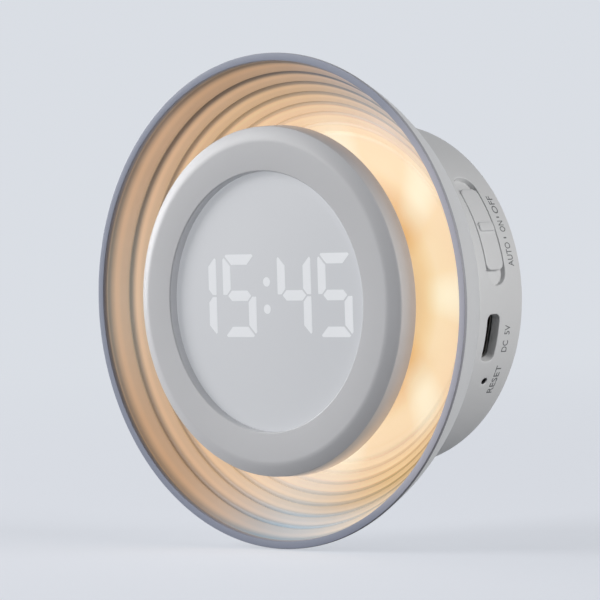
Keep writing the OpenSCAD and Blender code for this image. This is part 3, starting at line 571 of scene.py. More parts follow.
under_line = bowl_arc(bowl_outer_r, bowl_angle(spigot_inner, bowl_outer_r), -math.pi / 2, under_steps)
under_line += [(r, bowl_floor_depth - bowl_wall) for r in (bowl_floor_r, cable_hole_r)]
bowl_body = bmesh.new()
turn_outline(bowl_body, inner_line + lip + outer_line + skirt + under_line, steps=round_steps)
turned_mark = bowl_body.verts.layers.float.new("turned")
glow_mark = bowl_body.faces.layers.float.new("glowing")
for v in bowl_body.verts:
    from_axis = math.hypot(v.co.x, v.co.z) / MM
    inner_depth = bowl_floor_depth
    if from_axis > bowl_floor_r:
        along_floor = min(from_axis - bowl_floor_r, bowl_curve_r)
        inner_depth = bowl_curve_z - math.sqrt(bowl_curve_r ** 2 - along_floor ** 2)
    off_line = abs(-v.co.y / MM - inner_depth)
    v[turned_mark] = 1.0 if from_axis > turned_from_r and off_line < 0.01 else 0.0
    v.tag = from_axis < mouth_r + 0.01 and off_line < 0.02
for f in bowl_body.faces:
    f[glow_mark] = 1.0 if all(v.tag for v in f.verts) else 0.0


def where(tree):
    """Object coordinates, their parts, and the turn from three o'clock in radians."""
    place = add(tree, "ShaderNodeTexCoord", out="Object")
    parts = add(tree, "ShaderNodeSeparateXYZ", {0: place}).node.outputs
    return place, parts, maths(tree, "ARCTAN2", parts["Z"], parts["X"])


def axis_distance(tree, parts):
    flat = add(tree, "ShaderNodeCombineXYZ", {"X": parts["X"], "Z": parts["Z"]})
    return add(tree, "ShaderNodeVectorMath", {0: flat}, out="Value", operation="LENGTH")


def times(tree, share, *others):
    for other in others:
        share = maths(tree, "MULTIPLY", share, other)
    return share


def vectors(tree, operation, *values):
    return add(tree, "ShaderNodeVectorMath", dict(enumerate(values)), operation=operation)


def scaled(tree, vector, share):
    return add(tree, "ShaderNodeVectorMath", {0: vector, 3: share}, operation="SCALE")


def towards(tree, angle, turn, power=1.0):
    """One at a turn in degrees, falling to nought a quarter turn away on both sides."""
    share = maths(tree, "COSINE", maths(tree, "SUBTRACT", angle, math.radians(turn)))
    return maths(tree, "POWER", maths(tree, "MAXIMUM", share, 0.0), power)


def ramp(tree, value, low, high, stops):
    """A ramp over value, from stops of (place between low and high, grey or colour)."""
    made = add(tree, "ShaderNodeValToRGB", {0: ranged(tree, value, low, high)}).node
    while len(made.color_ramp.elements) < len(stops):
        made.color_ramp.elements.new(0.5)
    for element, (place_at, shade) in zip(made.color_ramp.elements, stops):
        element.position = (place_at - low) / (high - low)
        element.color = (shade if isinstance(shade, tuple) else (shade,) * 3) + (1,)
    return made.outputs[0]


# Painted lamp light: the bowl's inside glows warm by emission, brighter near the lamps.
painted_bowl_glow = bpy.data.materials.new("bowl_painted_lamp_glow")
painted_bowl_glow.use_nodes = True
tree = painted_bowl_glow.node_tree
place, parts, angle = where(tree)
radius_mm = maths(tree, "DIVIDE", axis_distance(tree, parts), MM)
glow_colour = ramp(tree, radius_mm, 10, 50, (
    (12, (0.45, 0.28, 0.13)), (19, (0.62, 0.43, 0.21)), (23.5, (0.70, 0.56, 0.36)),
    (33, (0.68, 0.51, 0.33)), (38, (0.72, 0.48, 0.29)), (42, (0.57, 0.36, 0.19)),
    (45.5, (0.41, 0.24, 0.13)), (48.3, (0.30, 0.15, 0.06))))

# Painted shade darkens the grooves, more outwards, at the top and to the lower right, and a painted highlight
# lies behind each.
step_in = maths(tree, "FRACT", add(tree, "ShaderNodeAttribute", out="Fac", attribute_name="groove_turns"))
crest_highlight = ramp(tree, step_in, 0, 1, (
    (0, 0.0), (0.2, 0.0), (0.32, 0.2), (0.42, 0.2), (0.54, 0.0), (1, 0.0)))
groove_shade_line = ramp(tree, step_in, 0, 1, (
    (0, 1.0), (0.08, 0.82), (0.15, 0.5), (0.24, 0.16), (0.32, 0.0), (0.5, 0.0), (0.62, 0.07),
    (0.76, 0.12), (0.86, 0.34), (0.93, 0.82), (1, 1.0)))
line_depth = ramp(tree, radius_mm, 32, 48.3, (
    (32, 0.0), (33.8, 0.09), (35.9, 0.19), (37.95, 0.34), (40, 0.52), (42.1, 0.66), (44.1, 0.8),
    (46.2, 1.0), (47.8, 0.9), (48.3, 0.9)))
upper_turn = 85
line_swing = 0.18
line_mean = 0.72
upper_part = maths(tree, "COSINE", maths(tree, "SUBTRACT", angle, math.radians(upper_turn)))
line_strength = maths(tree, "MULTIPLY_ADD", upper_part, line_swing, line_mean)
groove_shade_share = times(tree, groove_shade_line, line_depth, line_strength)
lower_right_groove_shade = ramp(tree, radius_mm, 31, 48, ((31, 0.0), (33.5, 0.2), (38, 0.26), (42, 0.18), (48, 0.0)))
lower_right_groove_shade = times(tree, towards(tree, angle, -62, 8.0), groove_shade_line, lower_right_groove_shade)
groove_shade_share = maths(tree, "ADD", groove_shade_share, lower_right_groove_shade)
# Painted shade: the glow is weaker near the rim, most on the right side.
right_part = maths(tree, "COSINE", angle)
rim_part = ramp(tree, radius_mm, 33, 45, (
    (33, 0.0), (35, 0.1), (37, 0.25), (39, 0.38), (41, 0.5), (43.3, 0.66), (45, 0.68)))
right_rim_shade = times(tree, maths(tree, "MULTIPLY_ADD", right_part, 0.5, 0.5), rim_part)
bands = times(tree, maths(tree, "MULTIPLY_ADD", crest_highlight, line_depth, 1.0),
              maths(tree, "SUBTRACT", 1.0, groove_shade_share), maths(tree, "SUBTRACT", 1.0, right_rim_shade))
glow = scaled(tree, glow_colour, bands)

# Painted light: eight lamps in the head make brighter spots, and painted room light tints the glow
# differently from side to side.
lamp_spots = 8.0
lamp_tint = (0.04, 0.14, 0.16)
spots = maths(tree, "MAXIMUM", maths(tree, "COSINE", times(tree, angle, lamp_spots)), 0.0)
near_lamps = ramp(tree, radius_mm, 18, 38, ((18, 0.0), (23, 0.8), (26, 1.0), (32, 1.0), (38, 0.0)))
glow = vectors(tree, "ADD", glow, scaled(tree, lamp_tint, times(tree, spots, near_lamps)))
outer_half = ranged(tree, radius_mm, 34.0, 38.0)
at_lip = ranged(tree, radius_mm, 42.5, 45.0)
for side_turn, power, part, side_tint in (
        (-98, 24.0, outer_half, (-0.10, 0.01, 0.09)), (60, 14.0, outer_half, (-0.09, 0.0, 0.09)),
        (180, 8.0, outer_half, (0.0, 0.05, 0.07)), (-60, 14.0, outer_half, (0.10, 0.06, -0.01)),
        (-80, 16.0, at_lip, (-0.03, 0.06, 0.14))):
    share = times(tree, towards(tree, angle, side_turn, power), part)
    glow = vectors(tree, "ADD", glow, scaled(tree, side_tint, share))
# Painted shade on the glow close round the head, except straight to its right.
head_shade = (0.10, 0.18, 0.17)
near_head = ranged(tree, radius_mm, 28.5, 22.5, "SMOOTHSTEP")
off_right = ranged(tree, right_part, 0.93, 0.72, "SMOOTHSTEP")
near_head_shade = scaled(tree, head_shade, times(tree, near_head, off_right))
glow = vectors(tree, "MAXIMUM", vectors(tree, "SUBTRACT", glow, near_head_shade), (0, 0, 0))

# The plastic under the painted glow is cream, with painted shade in the grooves.
line_shade = 0.45
clouds = add(tree, "ShaderNodeTexNoise", {"Vector": place, "Scale": 90.0, "Detail": 3.0})
wall_tint = mixed(tree, clouds, (0.46, 0.43, 0.40, 1), (0.54, 0.51, 0.48, 1))
shaded = maths(tree, "SUBTRACT", 1.0, times(tree, groove_shade_share, line_shade))
on_shader(painted_bowl_glow, {"Base Color": scaled(tree, wall_tint, shaded), "Roughness": 0.45,
                      "Emission Color": glow, "Emission Strength": 1.0})

# The white lip is bluish-grey on its face, with painted light towards the right; grey on its side, with
# painted shade towards the lower right; and painted shade on its inner wall.
lip_face_y = (-0.03485, -0.03495)
lip_face_r = (0.0482, 0.0484)
lip_side_r = (0.04990, 0.04997)
lip_wall_r = (0.0484, 0.0483)
lip_wall_y = ((-0.0345, -0.0347), (-0.0356, -0.0354))
lip_wall_painted_shade = (0.29, 0.28, 0.30, 1)
lip_face_painted_light_tints = ((0.29, 0.32, 0.42, 1), (0.56, 0.56, 0.65, 1))
lip_side_painted_shade_tints = ((0.33, 0.33, 0.36, 1), (0.08, 0.08, 0.09, 1))
shell_with_painted_lip_shading = moulded("bowl_shell_painted_lip_shading", (0.60, 0.605, 0.61), 0.45)
tree = shell_with_painted_lip_shading.node_tree
place, parts, angle = where(tree)
radius = axis_distance(tree, parts)
shell_tint = tree.nodes["Principled BSDF"].inputs["Base Color"].links[0].from_socket
right_part = ranged(tree, towards(tree, angle, -5), 0.5, 0.85, "SMOOTHSTEP")
face_tint = mixed(tree, right_part, *lip_face_painted_light_tints)
side_tint = mixed(tree, towards(tree, angle, -65, 3.0), *lip_side_painted_shade_tints)
lip_tint = mixed(tree, ranged(tree, radius, *lip_side_r), face_tint, side_tint)
on_lip = times(tree, ranged(tree, parts["Y"], *lip_face_y), ranged(tree, radius, *lip_face_r))
lip_tint = mixed(tree, on_lip, shell_tint, lip_tint)
inner_wall = ranged(tree, radius, *lip_wall_r)
for ends in lip_wall_y:
    inner_wall = times(tree, inner_wall, ranged(tree, parts["Y"], *ends))
on_shader(shell_with_painted_lip_shading, {"Base Color": mixed(tree, inner_wall, lip_tint, lip_wall_painted_shade)})

bowl_blank = finished("bowl_blank", bowl_body, shell_with_painted_lip_shading, sharp=bowl_sharp)
bowl_blank.data.materials.append(painted_bowl_glow)


def new_tree(name, **inputs):
    """A geometry tree with an input for each label, listed by kind, and those inputs."""
    tree = bpy.data.node_groups.new(name, "GeometryNodeTree")
    for kind, labels in inputs.items():
        for label in labels:
            tree.interface.new_socket(label, in_out="INPUT", socket_type="NodeSocket" + kind)
    tree.interface.new_socket("Geometry", in_out="OUTPUT", socket_type="NodeSocketGeometry")
    return tree, tree.nodes.new("NodeGroupInput").outputs


def ended(tree, geometry, material, **where_set):
    """Makes instances real, sets a material and hands the shape out of the tree."""
    real = add(tree, "GeometryNodeRealizeInstances", {"Geometry": geometry})
    done = add(tree, "GeometryNodeSetMaterial", {"Geometry": real, "Material": material, **where_set})
    tree.links.new(done, tree.nodes.new("NodeGroupOutput").inputs["Geometry"])
    return tree


def turning_tree():
    """Cuts evenly spaced grooves round the Y axis into the points marked as turned."""
    cut, given = new_tree(
        "turned_grooves", Geometry=("Geometry",), Material=("Shell", "Glow"),
        Float=("Groove Count", "Groove Pitch", "Groove Width", "Groove Depth", "Groove Shift", "First Share",
               "Band Sag", "Mouth Radius", "Floor Radius", "Curve Radius", "Curve Depth"))
    place = add(cut, "GeometryNodeInputPosition")
    flat = vectors(cut, "MULTIPLY", place, (1, 0, 1))
    radius = add(cut, "ShaderNodeVectorMath", {0: flat}, out="Value", operation="LENGTH")
    ring = scaled(cut, vectors(cut, "NORMALIZE", flat), given["Floor Radius"])
    down = add(cut, "ShaderNodeCombineXYZ", {"Y": times(cut, given["Curve Depth"], -1.0)})
    arm = vectors(cut, "SUBTRACT", place, vectors(cut, "ADD", ring, down))
    into = vectors(cut, "NORMALIZE", arm)
    first_r = maths(cut, "SUBTRACT", given["Mouth Radius"], given["Groove Shift"])
    turns = maths(cut, "DIVIDE", maths(cut, "SUBTRACT", first_r, radius), given["Groove Pitch"])
    last = maths(cut, "SUBTRACT", given["Groove Count"], 1.0)
    near = maths(cut, "MINIMUM", maths(cut, "ROUND", turns), last)
    groove_r = maths(cut, "SUBTRACT", first_r, times(cut, near, given["Groove Pitch"]))

    def section_angle(value):
        along = maths(cut, "SUBTRACT", value, given["Floor Radius"])
        return maths(cut, "ARCCOSINE", maths(cut, "DIVIDE", along, given["Curve Radius"]))

    apart = maths(cut, "ABSOLUTE", maths(cut, "SUBTRACT", section_angle(radius), section_angle(groove_r)))
    apart = times(cut, apart, given["Curve Radius"])
    share = maths(cut, "DIVIDE", apart, times(cut, given["Groove Width"], 0.5))
    notch = maths(cut, "MAXIMUM", maths(cut, "SUBTRACT", 1.0, share), 0.0)
    at_first = maths(cut, "MAXIMUM", maths(cut, "GREATER_THAN", near, 0.5), given["First Share"])
    notch = times(cut, notch, given["Groove Depth"], at_first)
    part = maths(cut, "FRACT", turns)
    bulge = times(cut, part, maths(cut, "SUBTRACT", 1.0, part), 4.0, given["Band Sag"],
                  maths(cut, "LESS_THAN", turns, last))
    mark = add(cut, "GeometryNodeInputNamedAttribute", {"Name": "turned"}, data_type="FLOAT")
    depth = times(cut, maths(cut, "ADD", notch, bulge), mark)
    kept = {"Geometry": given["Geometry"], "Name": "groove_turns", "Value": turns}
    kept = add(cut, "GeometryNodeStoreNamedAttribute", kept, data_type="FLOAT", domain="POINT")
    moved = add(cut, "GeometryNodeSetPosition", {"Geometry": kept, "Offset": scaled(cut, into, depth)})
    shelled = add(cut, "GeometryNodeSetMaterial", {"Geometry": moved, "Material": given["Shell"]})
    glows = add(cut, "GeometryNodeInputNamedAttribute", {"Name": "glowing"}, data_type="FLOAT")
    picked = add(cut, "FunctionNodeCompare", {0: glows, 1: 0.5}, data_type="FLOAT", operation="GREATER_THAN")
    return ended(cut, shelled, given["Glow"], Selection=picked)


def through_tree(blank, cut, sizes, name, sharp=32):
    """Runs a node tree on a blank and returns the plain mesh object it makes."""
    work = blank.modifiers.new("work", "NODES")
    work.node_group = cut
    for socket in cut.interface.items_tree:
        if socket.item_type == "SOCKET" and socket.name in sizes:
            work[socket.identifier] = sizes[socket.name]
    bpy.context.view_layer.update()
    evaluated = blank.evaluated_get(bpy.context.evaluated_depsgraph_get())
    mesh = bpy.data.meshes.new_from_object(evaluated)
    blank.modifiers.remove(work)
    bpy.data.objects.remove(blank)
    return smoothed(name, mesh, sharp)


bowl = through_tree(bowl_blank, turning_tree(), {
    "Groove Count": float(groove_count), "Groove Pitch": groove_pitch * MM, "Groove Width": groove_width * MM,
    "Groove Depth": groove_depth * MM, "Groove Shift": groove_shift * MM, "First Share": first_groove_share,
    "Band Sag": band_sag * MM, "Mouth Radius": mouth_r * MM, "Floor Radius": bowl_floor_r * MM,
    "Curve Radius": bowl_curve_r * MM, "Curve Depth": bowl_curve_z * MM, "Shell": shell_with_painted_lip_shading,
    "Glow": painted_bowl_glow}, "grooved_bowl", bowl_sharp)
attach(bowl, "case")
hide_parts("reflector_bowl")


# Clock head
# A white bezel ring with a soft shoulder is screwed to a shallow back, which stands on
# a hollow neck. Its display opening has a fine bevel.
head_front = 38.64
flat_end_r = 31.8
shoulder_r = 32.1
shoulder_knee_r = 33.2
shoulder_knee_slope = math.radians(22)
shoulder_h = 1.34
band_front_r = 35.28
band_back_r = 35.5
band_back = 33.13
opening_r = 26.25
window_front = 36.68
bezel_inside_r = 33.4
pocket_r = 28.0
pocket_back = 34.68
mask_rest_r = 27.2
arc_steps = 8
knee_h = (shoulder_knee_r - shoulder_r) * math.tan(shoulder_knee_slope / 2)
shoulder = [(flat_end_r, head_front, 0)]
slope_start = 0.0
start_r, start_h = shoulder_r, 0.0
for end_r, end_h in ((shoulder_knee_r, knee_h), (band_front_r, shoulder_h)):
    slope_end = 2 * math.atan2(end_h - start_h, end_r - start_r) - slope_start
    bend = (end_r - start_r) / (math.sin(slope_end) - math.sin(slope_start))
    for s in range(arc_steps):
        slope = slope_start + (slope_end - slope_start) * s / arc_steps
        shoulder.append((start_r + bend * (math.sin(slope) - math.sin(slope_start)),
                         head_front - start_h - bend * (math.cos(slope_start) - math.cos(slope)), 0))
    start_r, start_h, slope_start = end_r, end_h, slope_end
shoulder.append((band_front_r, head_front - shoulder_h, 0.25))
bezel_outline = eased([
    (opening_r, window_front, 0), (opening_r, head_front - 0.2, 0.1), (opening_r + 0.2, head_front, 0.1),
    *shoulder, (band_back_r, band_back, 0.2), (bezel_inside_r, band_back, 0),
    (bezel_inside_r, window_front, 0), (pocket_r, window_front, 0), (pocket_r, pocket_back, 0),
    (mask_rest_r, pocket_back, 0), (mask_rest_r, window_front, 0)])
bezel_body = bmesh.new()
turn_outline(bezel_body, bezel_outline, steps=round_steps)
bezel_with_painted_glow = moulded("white_bezel_painted_glow", (0.66, 0.667, 0.69), 0.42)
# Warm light from the bowl on the ring's side, stronger below, and pale light on its right are painted in as
# emission.
tree = bezel_with_painted_glow.node_tree
place, parts, angle = where(tree)
painted_glow_tint = (0.11, 0.075, 0.05)
painted_side_light_tint = (0.13, 0.13, 0.128)
painted_glow_y = (-0.0372, -0.0332)
band_y = (-0.0375, -0.037)
below = maths(tree, "MULTIPLY_ADD", towards(tree, angle, -72, 6.0), 1.8, 1.0)
painted_glow = times(tree, ranged(tree, parts["Y"], *painted_glow_y, "SMOOTHSTEP"), below)
painted_side_light = times(tree, towards(tree, angle, 8, 4.0), ranged(tree, parts["Y"], *band_y))
painted_glow = vectors(tree, "ADD", scaled(tree, painted_glow_tint, painted_glow), scaled(tree, painted_side_light_tint, painted_side_light))
on_shader(bezel_with_painted_glow, {"Emission Color": painted_glow, "Emission Strength": 1.0})
bezel = finished("bezel_frame", bezel_body, bezel_with_painted_glow, sharp=36)
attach(bezel, "case")
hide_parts("bezel_ring")


def dressed(node, name, finish):
    """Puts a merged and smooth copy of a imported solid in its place, riding on the case."""
    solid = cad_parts[node].data
    copy = bmesh.new()
    spots = [copy.verts.new(v.co) for v in solid.vertices]
    for f in solid.polygons:
        copy.faces.new([spots[i] for i in f.vertices])
    bmesh.ops.remove_doubles(copy, verts=copy.verts, dist=2e-6)
    bmesh.ops.dissolve_limit(copy, angle_limit=math.radians(0.5), verts=copy.verts, edges=copy.edges)
    piece = finished(name, copy, finish)
    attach(piece, "case")
    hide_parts(node)


head_finish = moulded("white_head_plastic", (0.61, 0.615, 0.62), 0.5)
dressed("puck_back", "head_back", head_finish)
dressed("neck", "hollow_neck", head_finish)
dressed("rear_cover", "rear_plate", white_shell)


# Cover screws
# Four zinc-plated screws with domed heads and cross recesses hold the rear cover. They
# stand sunk in it, on one ring.
def metal(name, colour, rough):
    return on_shader(moulded(name, colour, rough, 0.06, 0.08, 0.0003), {"Metallic": 1.0})


screw_head_r = 2.1
screw_shank_r = 0.9
screw_top = 0.1
screw_under = 1.1
screw_end = -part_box("cover_screws")[0][1] / MM
most_lean = 80
zinc = metal("zinc_screw_steel", (0.62, 0.62, 0.63), 0.32)
screw_body = bmesh.new()
turn_outline(screw_body, eased([
    (0, screw_top, 0), (1.2, screw_top + 0.06, 0.6), (screw_head_r, screw_top + 0.45, 0.25),
    (screw_head_r, screw_under, 0.08), (screw_shank_r, screw_under, 0), (screw_shank_r, screw_end - 0.7, 0.2),
    (0, screw_end, 0)]), steps=40)
screw_blank = finished("screw_blank", screw_body, zinc)


def screw_tree():
    """Cuts the two slots of a cross, one by one, and sets copies on a ring round Y."""
    fix, given = new_tree("ring_of_screws", Geometry=("Geometry",), Int=("Places",), Material=("Steel",),
                          Float=("Ring Radius", "Cross Length", "Cross Width", "Cross Depth", "Side Gap"))
    long_side, short_side, deep = given["Cross Length"], given["Cross Width"], given["Cross Depth"]
    head = given["Geometry"]
    for slot in ((long_side, deep, short_side), (short_side, deep, long_side)):
        size = add(fix, "ShaderNodeCombineXYZ", dict(enumerate(slot)))
        cutter = add(fix, "GeometryNodeMeshCube", {"Size": size})
        head = add(fix, "GeometryNodeMeshBoolean", {"Mesh 1": head, "Mesh 2": cutter},
                   operation="DIFFERENCE", solver="EXACT")
    ring = add(fix, "GeometryNodeMeshCircle", {"Vertices": given["Places"], "Radius": given["Ring Radius"]})
    ring = add(fix, "GeometryNodeTransform", {"Geometry": ring, "Rotation": (math.radians(90), 0, 0)})
    height = add(fix, "ShaderNodeSeparateXYZ", {0: add(fix, "GeometryNodeInputPosition")}, out="Z")
    level = maths(fix, "LESS_THAN", maths(fix, "ABSOLUTE", height), given["Side Gap"])
    ring = add(fix, "GeometryNodeDeleteGeometry", {"Geometry": ring, "Selection": level}, domain="POINT")
    lean = add(fix, "FunctionNodeRandomValue", {2: 0.0, 3: math.radians(most_lean), "Seed": 4}, out=1)
    lean = add(fix, "ShaderNodeCombineXYZ", {1: lean})
    placed = add(fix, "GeometryNodeInstanceOnPoints", {"Points": ring, "Instance": head, "Rotation": lean})
    return ended(fix, placed, given["Steel"])


screws = through_tree(screw_blank, screw_tree(), {
    "Ring Radius": 28 * MM, "Cross Length": 2.3 * MM, "Cross Width": 0.6 * MM, "Cross Depth": 1.9 * MM,
    "Side Gap": 1 * MM, "Places": 6, "Steel": zinc}, "rear_screws")
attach(screws, "case")
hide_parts("cover_screws")


# USB socket
# A folded nickel shell stands behind its cut-out. The black tongue in it carries a row of
# gold contacts on each face.
socket_turn, socket_depth = socket_mouth[:2]
contact_r = 30.3
# The nickel and the gold are darker than bare metal, as painted shade for the socket's dark inside.
nickel = metal("nickel_darkened_painted_shade", (0.34, 0.33, 0.31), 0.3)
dressed("usb_shell", "socket_shell", nickel)
gold = metal("gold_darkened_painted_shade", (0.60, 0.42, 0.17), 0.3)
contact_blank = finished("contact_blank", bmesh.new(), gold)


def contact_tree():
    """Lays bars side by side along X, in two rows set apart along Y."""
    lay, given = new_tree("contact_rows", Int=("Count",), Material=("Gold",),
                          Float=("Pitch", "Width", "Length", "Thickness", "Row Gap"))
    first = times(lay, maths(lay, "SUBTRACT", given["Count"], 1.0), -0.5, given["Pitch"])
    rows = lay.nodes.new("GeometryNodeJoinGeometry")
    step = add(lay, "ShaderNodeCombineXYZ", {0: given["Pitch"]})
    for side in (-0.5, 0.5):
        across = times(lay, given["Row Gap"], side)
        start = add(lay, "ShaderNodeCombineXYZ", {0: first, 1: across})
        row = add(lay, "GeometryNodeMeshLine", {"Count": given["Count"], "Start Location": start,
                                                "Offset": step})
        lay.links.new(row, rows.inputs[0])
    size = add(lay, "ShaderNodeCombineXYZ", {0: given["Width"], 1: given["Thickness"], 2: given["Length"]})
    bar = add(lay, "GeometryNodeMeshCube", {"Size": size})
    laid = add(lay, "GeometryNodeInstanceOnPoints", {"Points": rows.outputs[0], "Instance": bar})
    return ended(lay, laid, given["Gold"])


contacts = through_tree(contact_blank, contact_tree(), {
    "Count": 12, "Pitch": 0.5 * MM, "Width": 0.26 * MM, "Length": 4.2 * MM, "Thickness": 0.06 * MM,
    "Row Gap": 0.7 * MM, "Gold": gold}, "socket_contacts")
socket_sine = math.sin(math.radians(socket_turn))
socket_cosine = math.cos(math.radians(socket_turn))
stand = Matrix(((-socket_sine, 0, socket_cosine), (0, -1, 0), (socket_cosine, 0, socket_sine)))
stand = stand.transposed().to_4x4()
contacts.data.transform(Matrix.Translation(at(contact_r, socket_turn, socket_depth)) @ stand)
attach(contacts, "case")


# Pinhole shade sleeve
# A thin black sleeve lines the pinhole's wall as painted shade for its dark inside. The
# reset plunger ends just inside the drum.
sleeve_in = 33.45
sleeve_out = 35.2
sleeve_bore = -0.16
sleeve_skin = -0.02
shade_sleeve = bmesh.new()
side_wall(shade_sleeve, [(r, rounded_bar(*pinhole, grow)) for r, grow in (
    (sleeve_in, sleeve_bore), (sleeve_in, sleeve_skin), (sleeve_out, sleeve_skin),
    (sleeve_out, sleeve_bore), (sleeve_in, sleeve_bore))])
painted_shade_black = moulded("black_sleeve_painted_shade", (0.02, 0.02, 0.022), 0.6)
shade_sleeve_piece = finished("pinhole_shade_sleeve", shade_sleeve, painted_shade_black)
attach(shade_sleeve_piece, "case")


# Set buttons
# Three round caps stand sunk in the rear cover: set, up and down. Each has a moulded
# flange inside, a post that presses its dome, and a grey printed mark.
cap_r = 2.6
cap_top = 0.35
flange_r = 3.5
flange_top = 2.1
flange_end = 2.7
post_r = 1.1
cap_x = 21.0
cap_pitch = 8.5
mark_proud = cap_top + 0.01
mark_foot = cap_top + 0.2


def disc_outline(radius, x=0.0, z=0.0):
    return [(x + radius * math.cos(math.radians(a)), z + radius * math.sin(math.radians(a)))
            for a in range(0, 360, 15)]


def patch(mesh_in, outline, low, high):
    """A thin flat patch between two depths, from an outline of (x, z) points."""
    loops = [[mesh_in.verts.new(Vector((x, -d, z)) * MM) for x, z in outline] for d in (low, high)]
    for loop in loops:
        mesh_in.faces.new(loop)
    for i in range(len(outline)):
        j = (i + 1) % len(outline)
        mesh_in.faces.new((loops[0][i], loops[0][j], loops[1][j], loops[1][i]))


cap_finish = moulded("white_button_plastic", (0.60, 0.605, 0.61), 0.4)
dot_mark = disc_outline(0.75)
up_mark = [(-0.9, -0.55), (0.9, -0.55), (0, 0.95)]
down_mark = [(-0.9, 0.55), (0.9, 0.55), (0, -0.95)]
for key, row, mark in (("set", 1, dot_mark), ("up", 0, up_mark), ("down", -1, down_mark)):
    cap = bmesh.new()
    cap_z = row * cap_pitch
    post_end = -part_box(key + "_button")[0][1] / MM
    turn_outline(cap, eased([
        (0, cap_top + 0.12, 0), (1.3, cap_top + 0.05, 1.2), (cap_r, cap_top, 0.3), (cap_r, flange_top, 0),
        (flange_r, flange_top, 0.1), (flange_r, flange_end, 0.1), (post_r, flange_end, 0),
        (post_r, post_end, 0.15), (0, post_end, 0)]), steps=64)
    bmesh.ops.translate(cap, vec=Vector((cap_x, 0, cap_z)) * MM, verts=cap.verts)
    cap_piece = finished(key + "_cap", cap, cap_finish)
    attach(cap_piece, key)
    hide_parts(key + "_button")
    print_body = bmesh.new()
    patch(print_body, [(cap_x + x, cap_z + z) for x, z in mark], mark_proud, mark_foot)
    mark_piece = finished(key + "_mark", print_body, grey_ink)
    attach(mark_piece, key)


# Display window
# A pale smoked disc of acrylic lies in the bezel. Four digits and a colon shine through
# it from light guides behind, and show on its face as soft white bars.
window_r = 27.1
window_t = 1.15
window_back = window_front - window_t
window_body = bmesh.new()
turn_outline(window_body, eased([(0, window_back, 0), (window_r, window_back, 0.1),
                                 (window_r, window_front, 0.1), (0, window_front, 0)]))
smoked = moulded("smoked_white_acrylic", (0.36, 0.365, 0.38), 0.45, 0.012, 0.03, 0.0009, 0.2)
# The face glows evenly, partly as the display's backlight and partly as painted light that fills the bezel's
# shadow on it.
on_shader(smoked, {"Emission Color": (0.92, 0.95, 1.0, 1), "Emission Strength": 0.355})
window_piece = finished("window_disc", window_body, smoked)
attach(window_piece, "case")
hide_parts("display_window")

digit_w = 9.05
digit_h = 16.76
bar_w = 2.1
bar_gap = 0.42 / math.sqrt(2)
bar_clip = 0.68
digit_pitch = 10.94
colon_to_digit = 7.49
digits_x = -0.98
digits_y = 1.21
dot_r = 0.95
dot_rise = 2.75
half_digit = digit_w / 2
half_high = digit_h / 2
bar_foot = bar_gap * 0.7
end_x = half_digit - bar_gap
end_y = half_high - bar_gap
top_bar = [(-end_x + bar_clip, half_high), (end_x - bar_clip, half_high),
           (end_x - bar_clip / 2, half_high - bar_clip / 2), (end_x - bar_w, half_high - bar_w),
           (-end_x + bar_w, half_high - bar_w), (-end_x + bar_clip / 2, half_high - bar_clip / 2)]
side_bar = [(-half_digit, end_y - bar_clip), (-half_digit + bar_clip / 2, end_y - bar_clip / 2),
            (-half_digit + bar_w, end_y - bar_w), (-half_digit + bar_w, bar_w / 2 + bar_gap),
            (-half_digit + bar_w / 2, bar_foot), (-half_digit, bar_foot)]
tip_x = half_digit - bar_w / 2 - bar_gap
flat_x = half_digit - bar_w - bar_gap
middle_bar = [(-tip_x, 0), (-flat_x, bar_w / 2), (flat_x, bar_w / 2), (tip_x, 0), (flat_x, -bar_w / 2),
              (-flat_x, -bar_w / 2)]
bars = {letter: [(across * x, up * y) for x, y in bar] for letter, bar, across, up in (
    ("a", top_bar, 1, 1), ("d", top_bar, 1, -1), ("f", side_bar, 1, 1), ("e", side_bar, 1, -1),
    ("b", side_bar, -1, 1), ("c", side_bar, -1, -1), ("g", middle_bar, 1, 1))}
lit_bars = {"1": "bc", "5": "afgcd", "4": "fgbc"}
digits = bmesh.new()
lit_low = window_front - 0.03
lit_high = window_front + 0.02
outer_digit = colon_to_digit + digit_pitch
for middle, figure in zip((-outer_digit, -colon_to_digit, colon_to_digit, outer_digit), "1545"):
    for letter in lit_bars[figure]:
        shape = eased([(x + middle + digits_x, y + digits_y, 0.16) for x, y in bars[letter]], 3)
        patch(digits, shape, lit_low, lit_high)
for side in (-1, 1):
    patch(digits, disc_outline(dot_r, digits_x, digits_y + side * dot_rise), lit_low, lit_high)
digit_light = moulded("white_digit_light", (0.55, 0.56, 0.58), 0.35, 0.02, 0.02)
on_shader(digit_light, {"Emission Color": (0.93, 0.96, 1.0, 1), "Emission Strength": 0.36})
lit_digits = finished("lit_digits", digits, digit_light)
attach(lit_digits, "case")


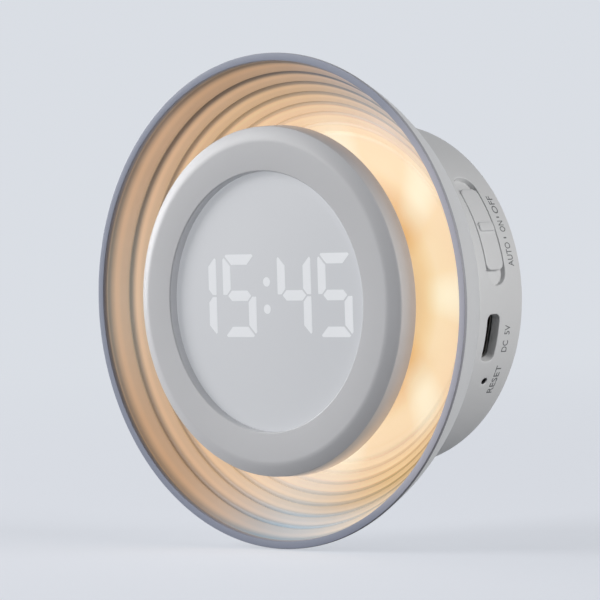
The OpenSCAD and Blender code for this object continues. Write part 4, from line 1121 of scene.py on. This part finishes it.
# Inside
# The imported solids of the display, the lamps, the boards and the battery stay as they
# are, each with the finish of its real material; the reset plunger and the nickel are darkened as painted
# shade.
def painted(finish, *nodes):
    for name in nodes:
        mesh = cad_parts[name].data
        mesh.materials.clear()
        mesh.materials.append(finish)


painted(moulded("black_mask_plastic", (0.02, 0.02, 0.022), 0.6), "segment_mask", "ambient_sensor",
        "mode_switch_lever", "reset_switch")
painted(moulded("clear_guide_plastic", (0.8, 0.82, 0.85), 0.2), "segment_guides")
painted(moulded("led_resin", (0.8, 0.72, 0.35), 0.3), "display_leds")
painted(moulded("green_board", (0.03, 0.16, 0.07), 0.4, 0.15), "display_board", "light_board", "main_board")
painted(moulded("chip_epoxy", (0.025, 0.025, 0.028), 0.5), "display_chip", "board_chips")
lamp_warmth = (1.0, 0.80, 0.52, 1)
for name, colour, rough, strength, node in (
        ("lit_led_resin", (0.8, 0.72, 0.35), 0.3, 1.0, "light_leds"),
        ("lit_diffuser", (0.75, 0.72, 0.66), 0.4, 0.35, "diffuser_ring")):
    lamp_light = {"Emission Color": lamp_warmth, "Emission Strength": strength}
    painted(on_shader(moulded(name, colour, rough), lamp_light), node)
painted(moulded("grey_ribbon", (0.45, 0.46, 0.48), 0.5), "ribbon_cable")
painted(moulded("socket_nylon", (0.75, 0.72, 0.62), 0.5), "ribbon_sockets", "battery_plug")
painted(zinc, "neck_rear_screws", "neck_front_screws", "puck_screws", "board_screws", "button_domes")
painted(nickel, "mode_switch")
painted(moulded("black_tongue_plastic", (0.012, 0.012, 0.013), 0.5), "usb_tongue")
# The plunger's dark grey is painted shade for the pinhole's dark inside.
painted(moulded("plunger_painted_shade_grey", (0.05, 0.05, 0.055), 0.6), "reset_plunger")
painted(metal("battery_foil", (0.6, 0.61, 0.63), 0.35), "battery_cell")
painted(moulded("black_foam", (0.03, 0.03, 0.03), 0.9, 0.3, 0.6), "battery_pad")
painted(moulded("lead_vinyl", (0.35, 0.03, 0.03), 0.4), "battery_leads")
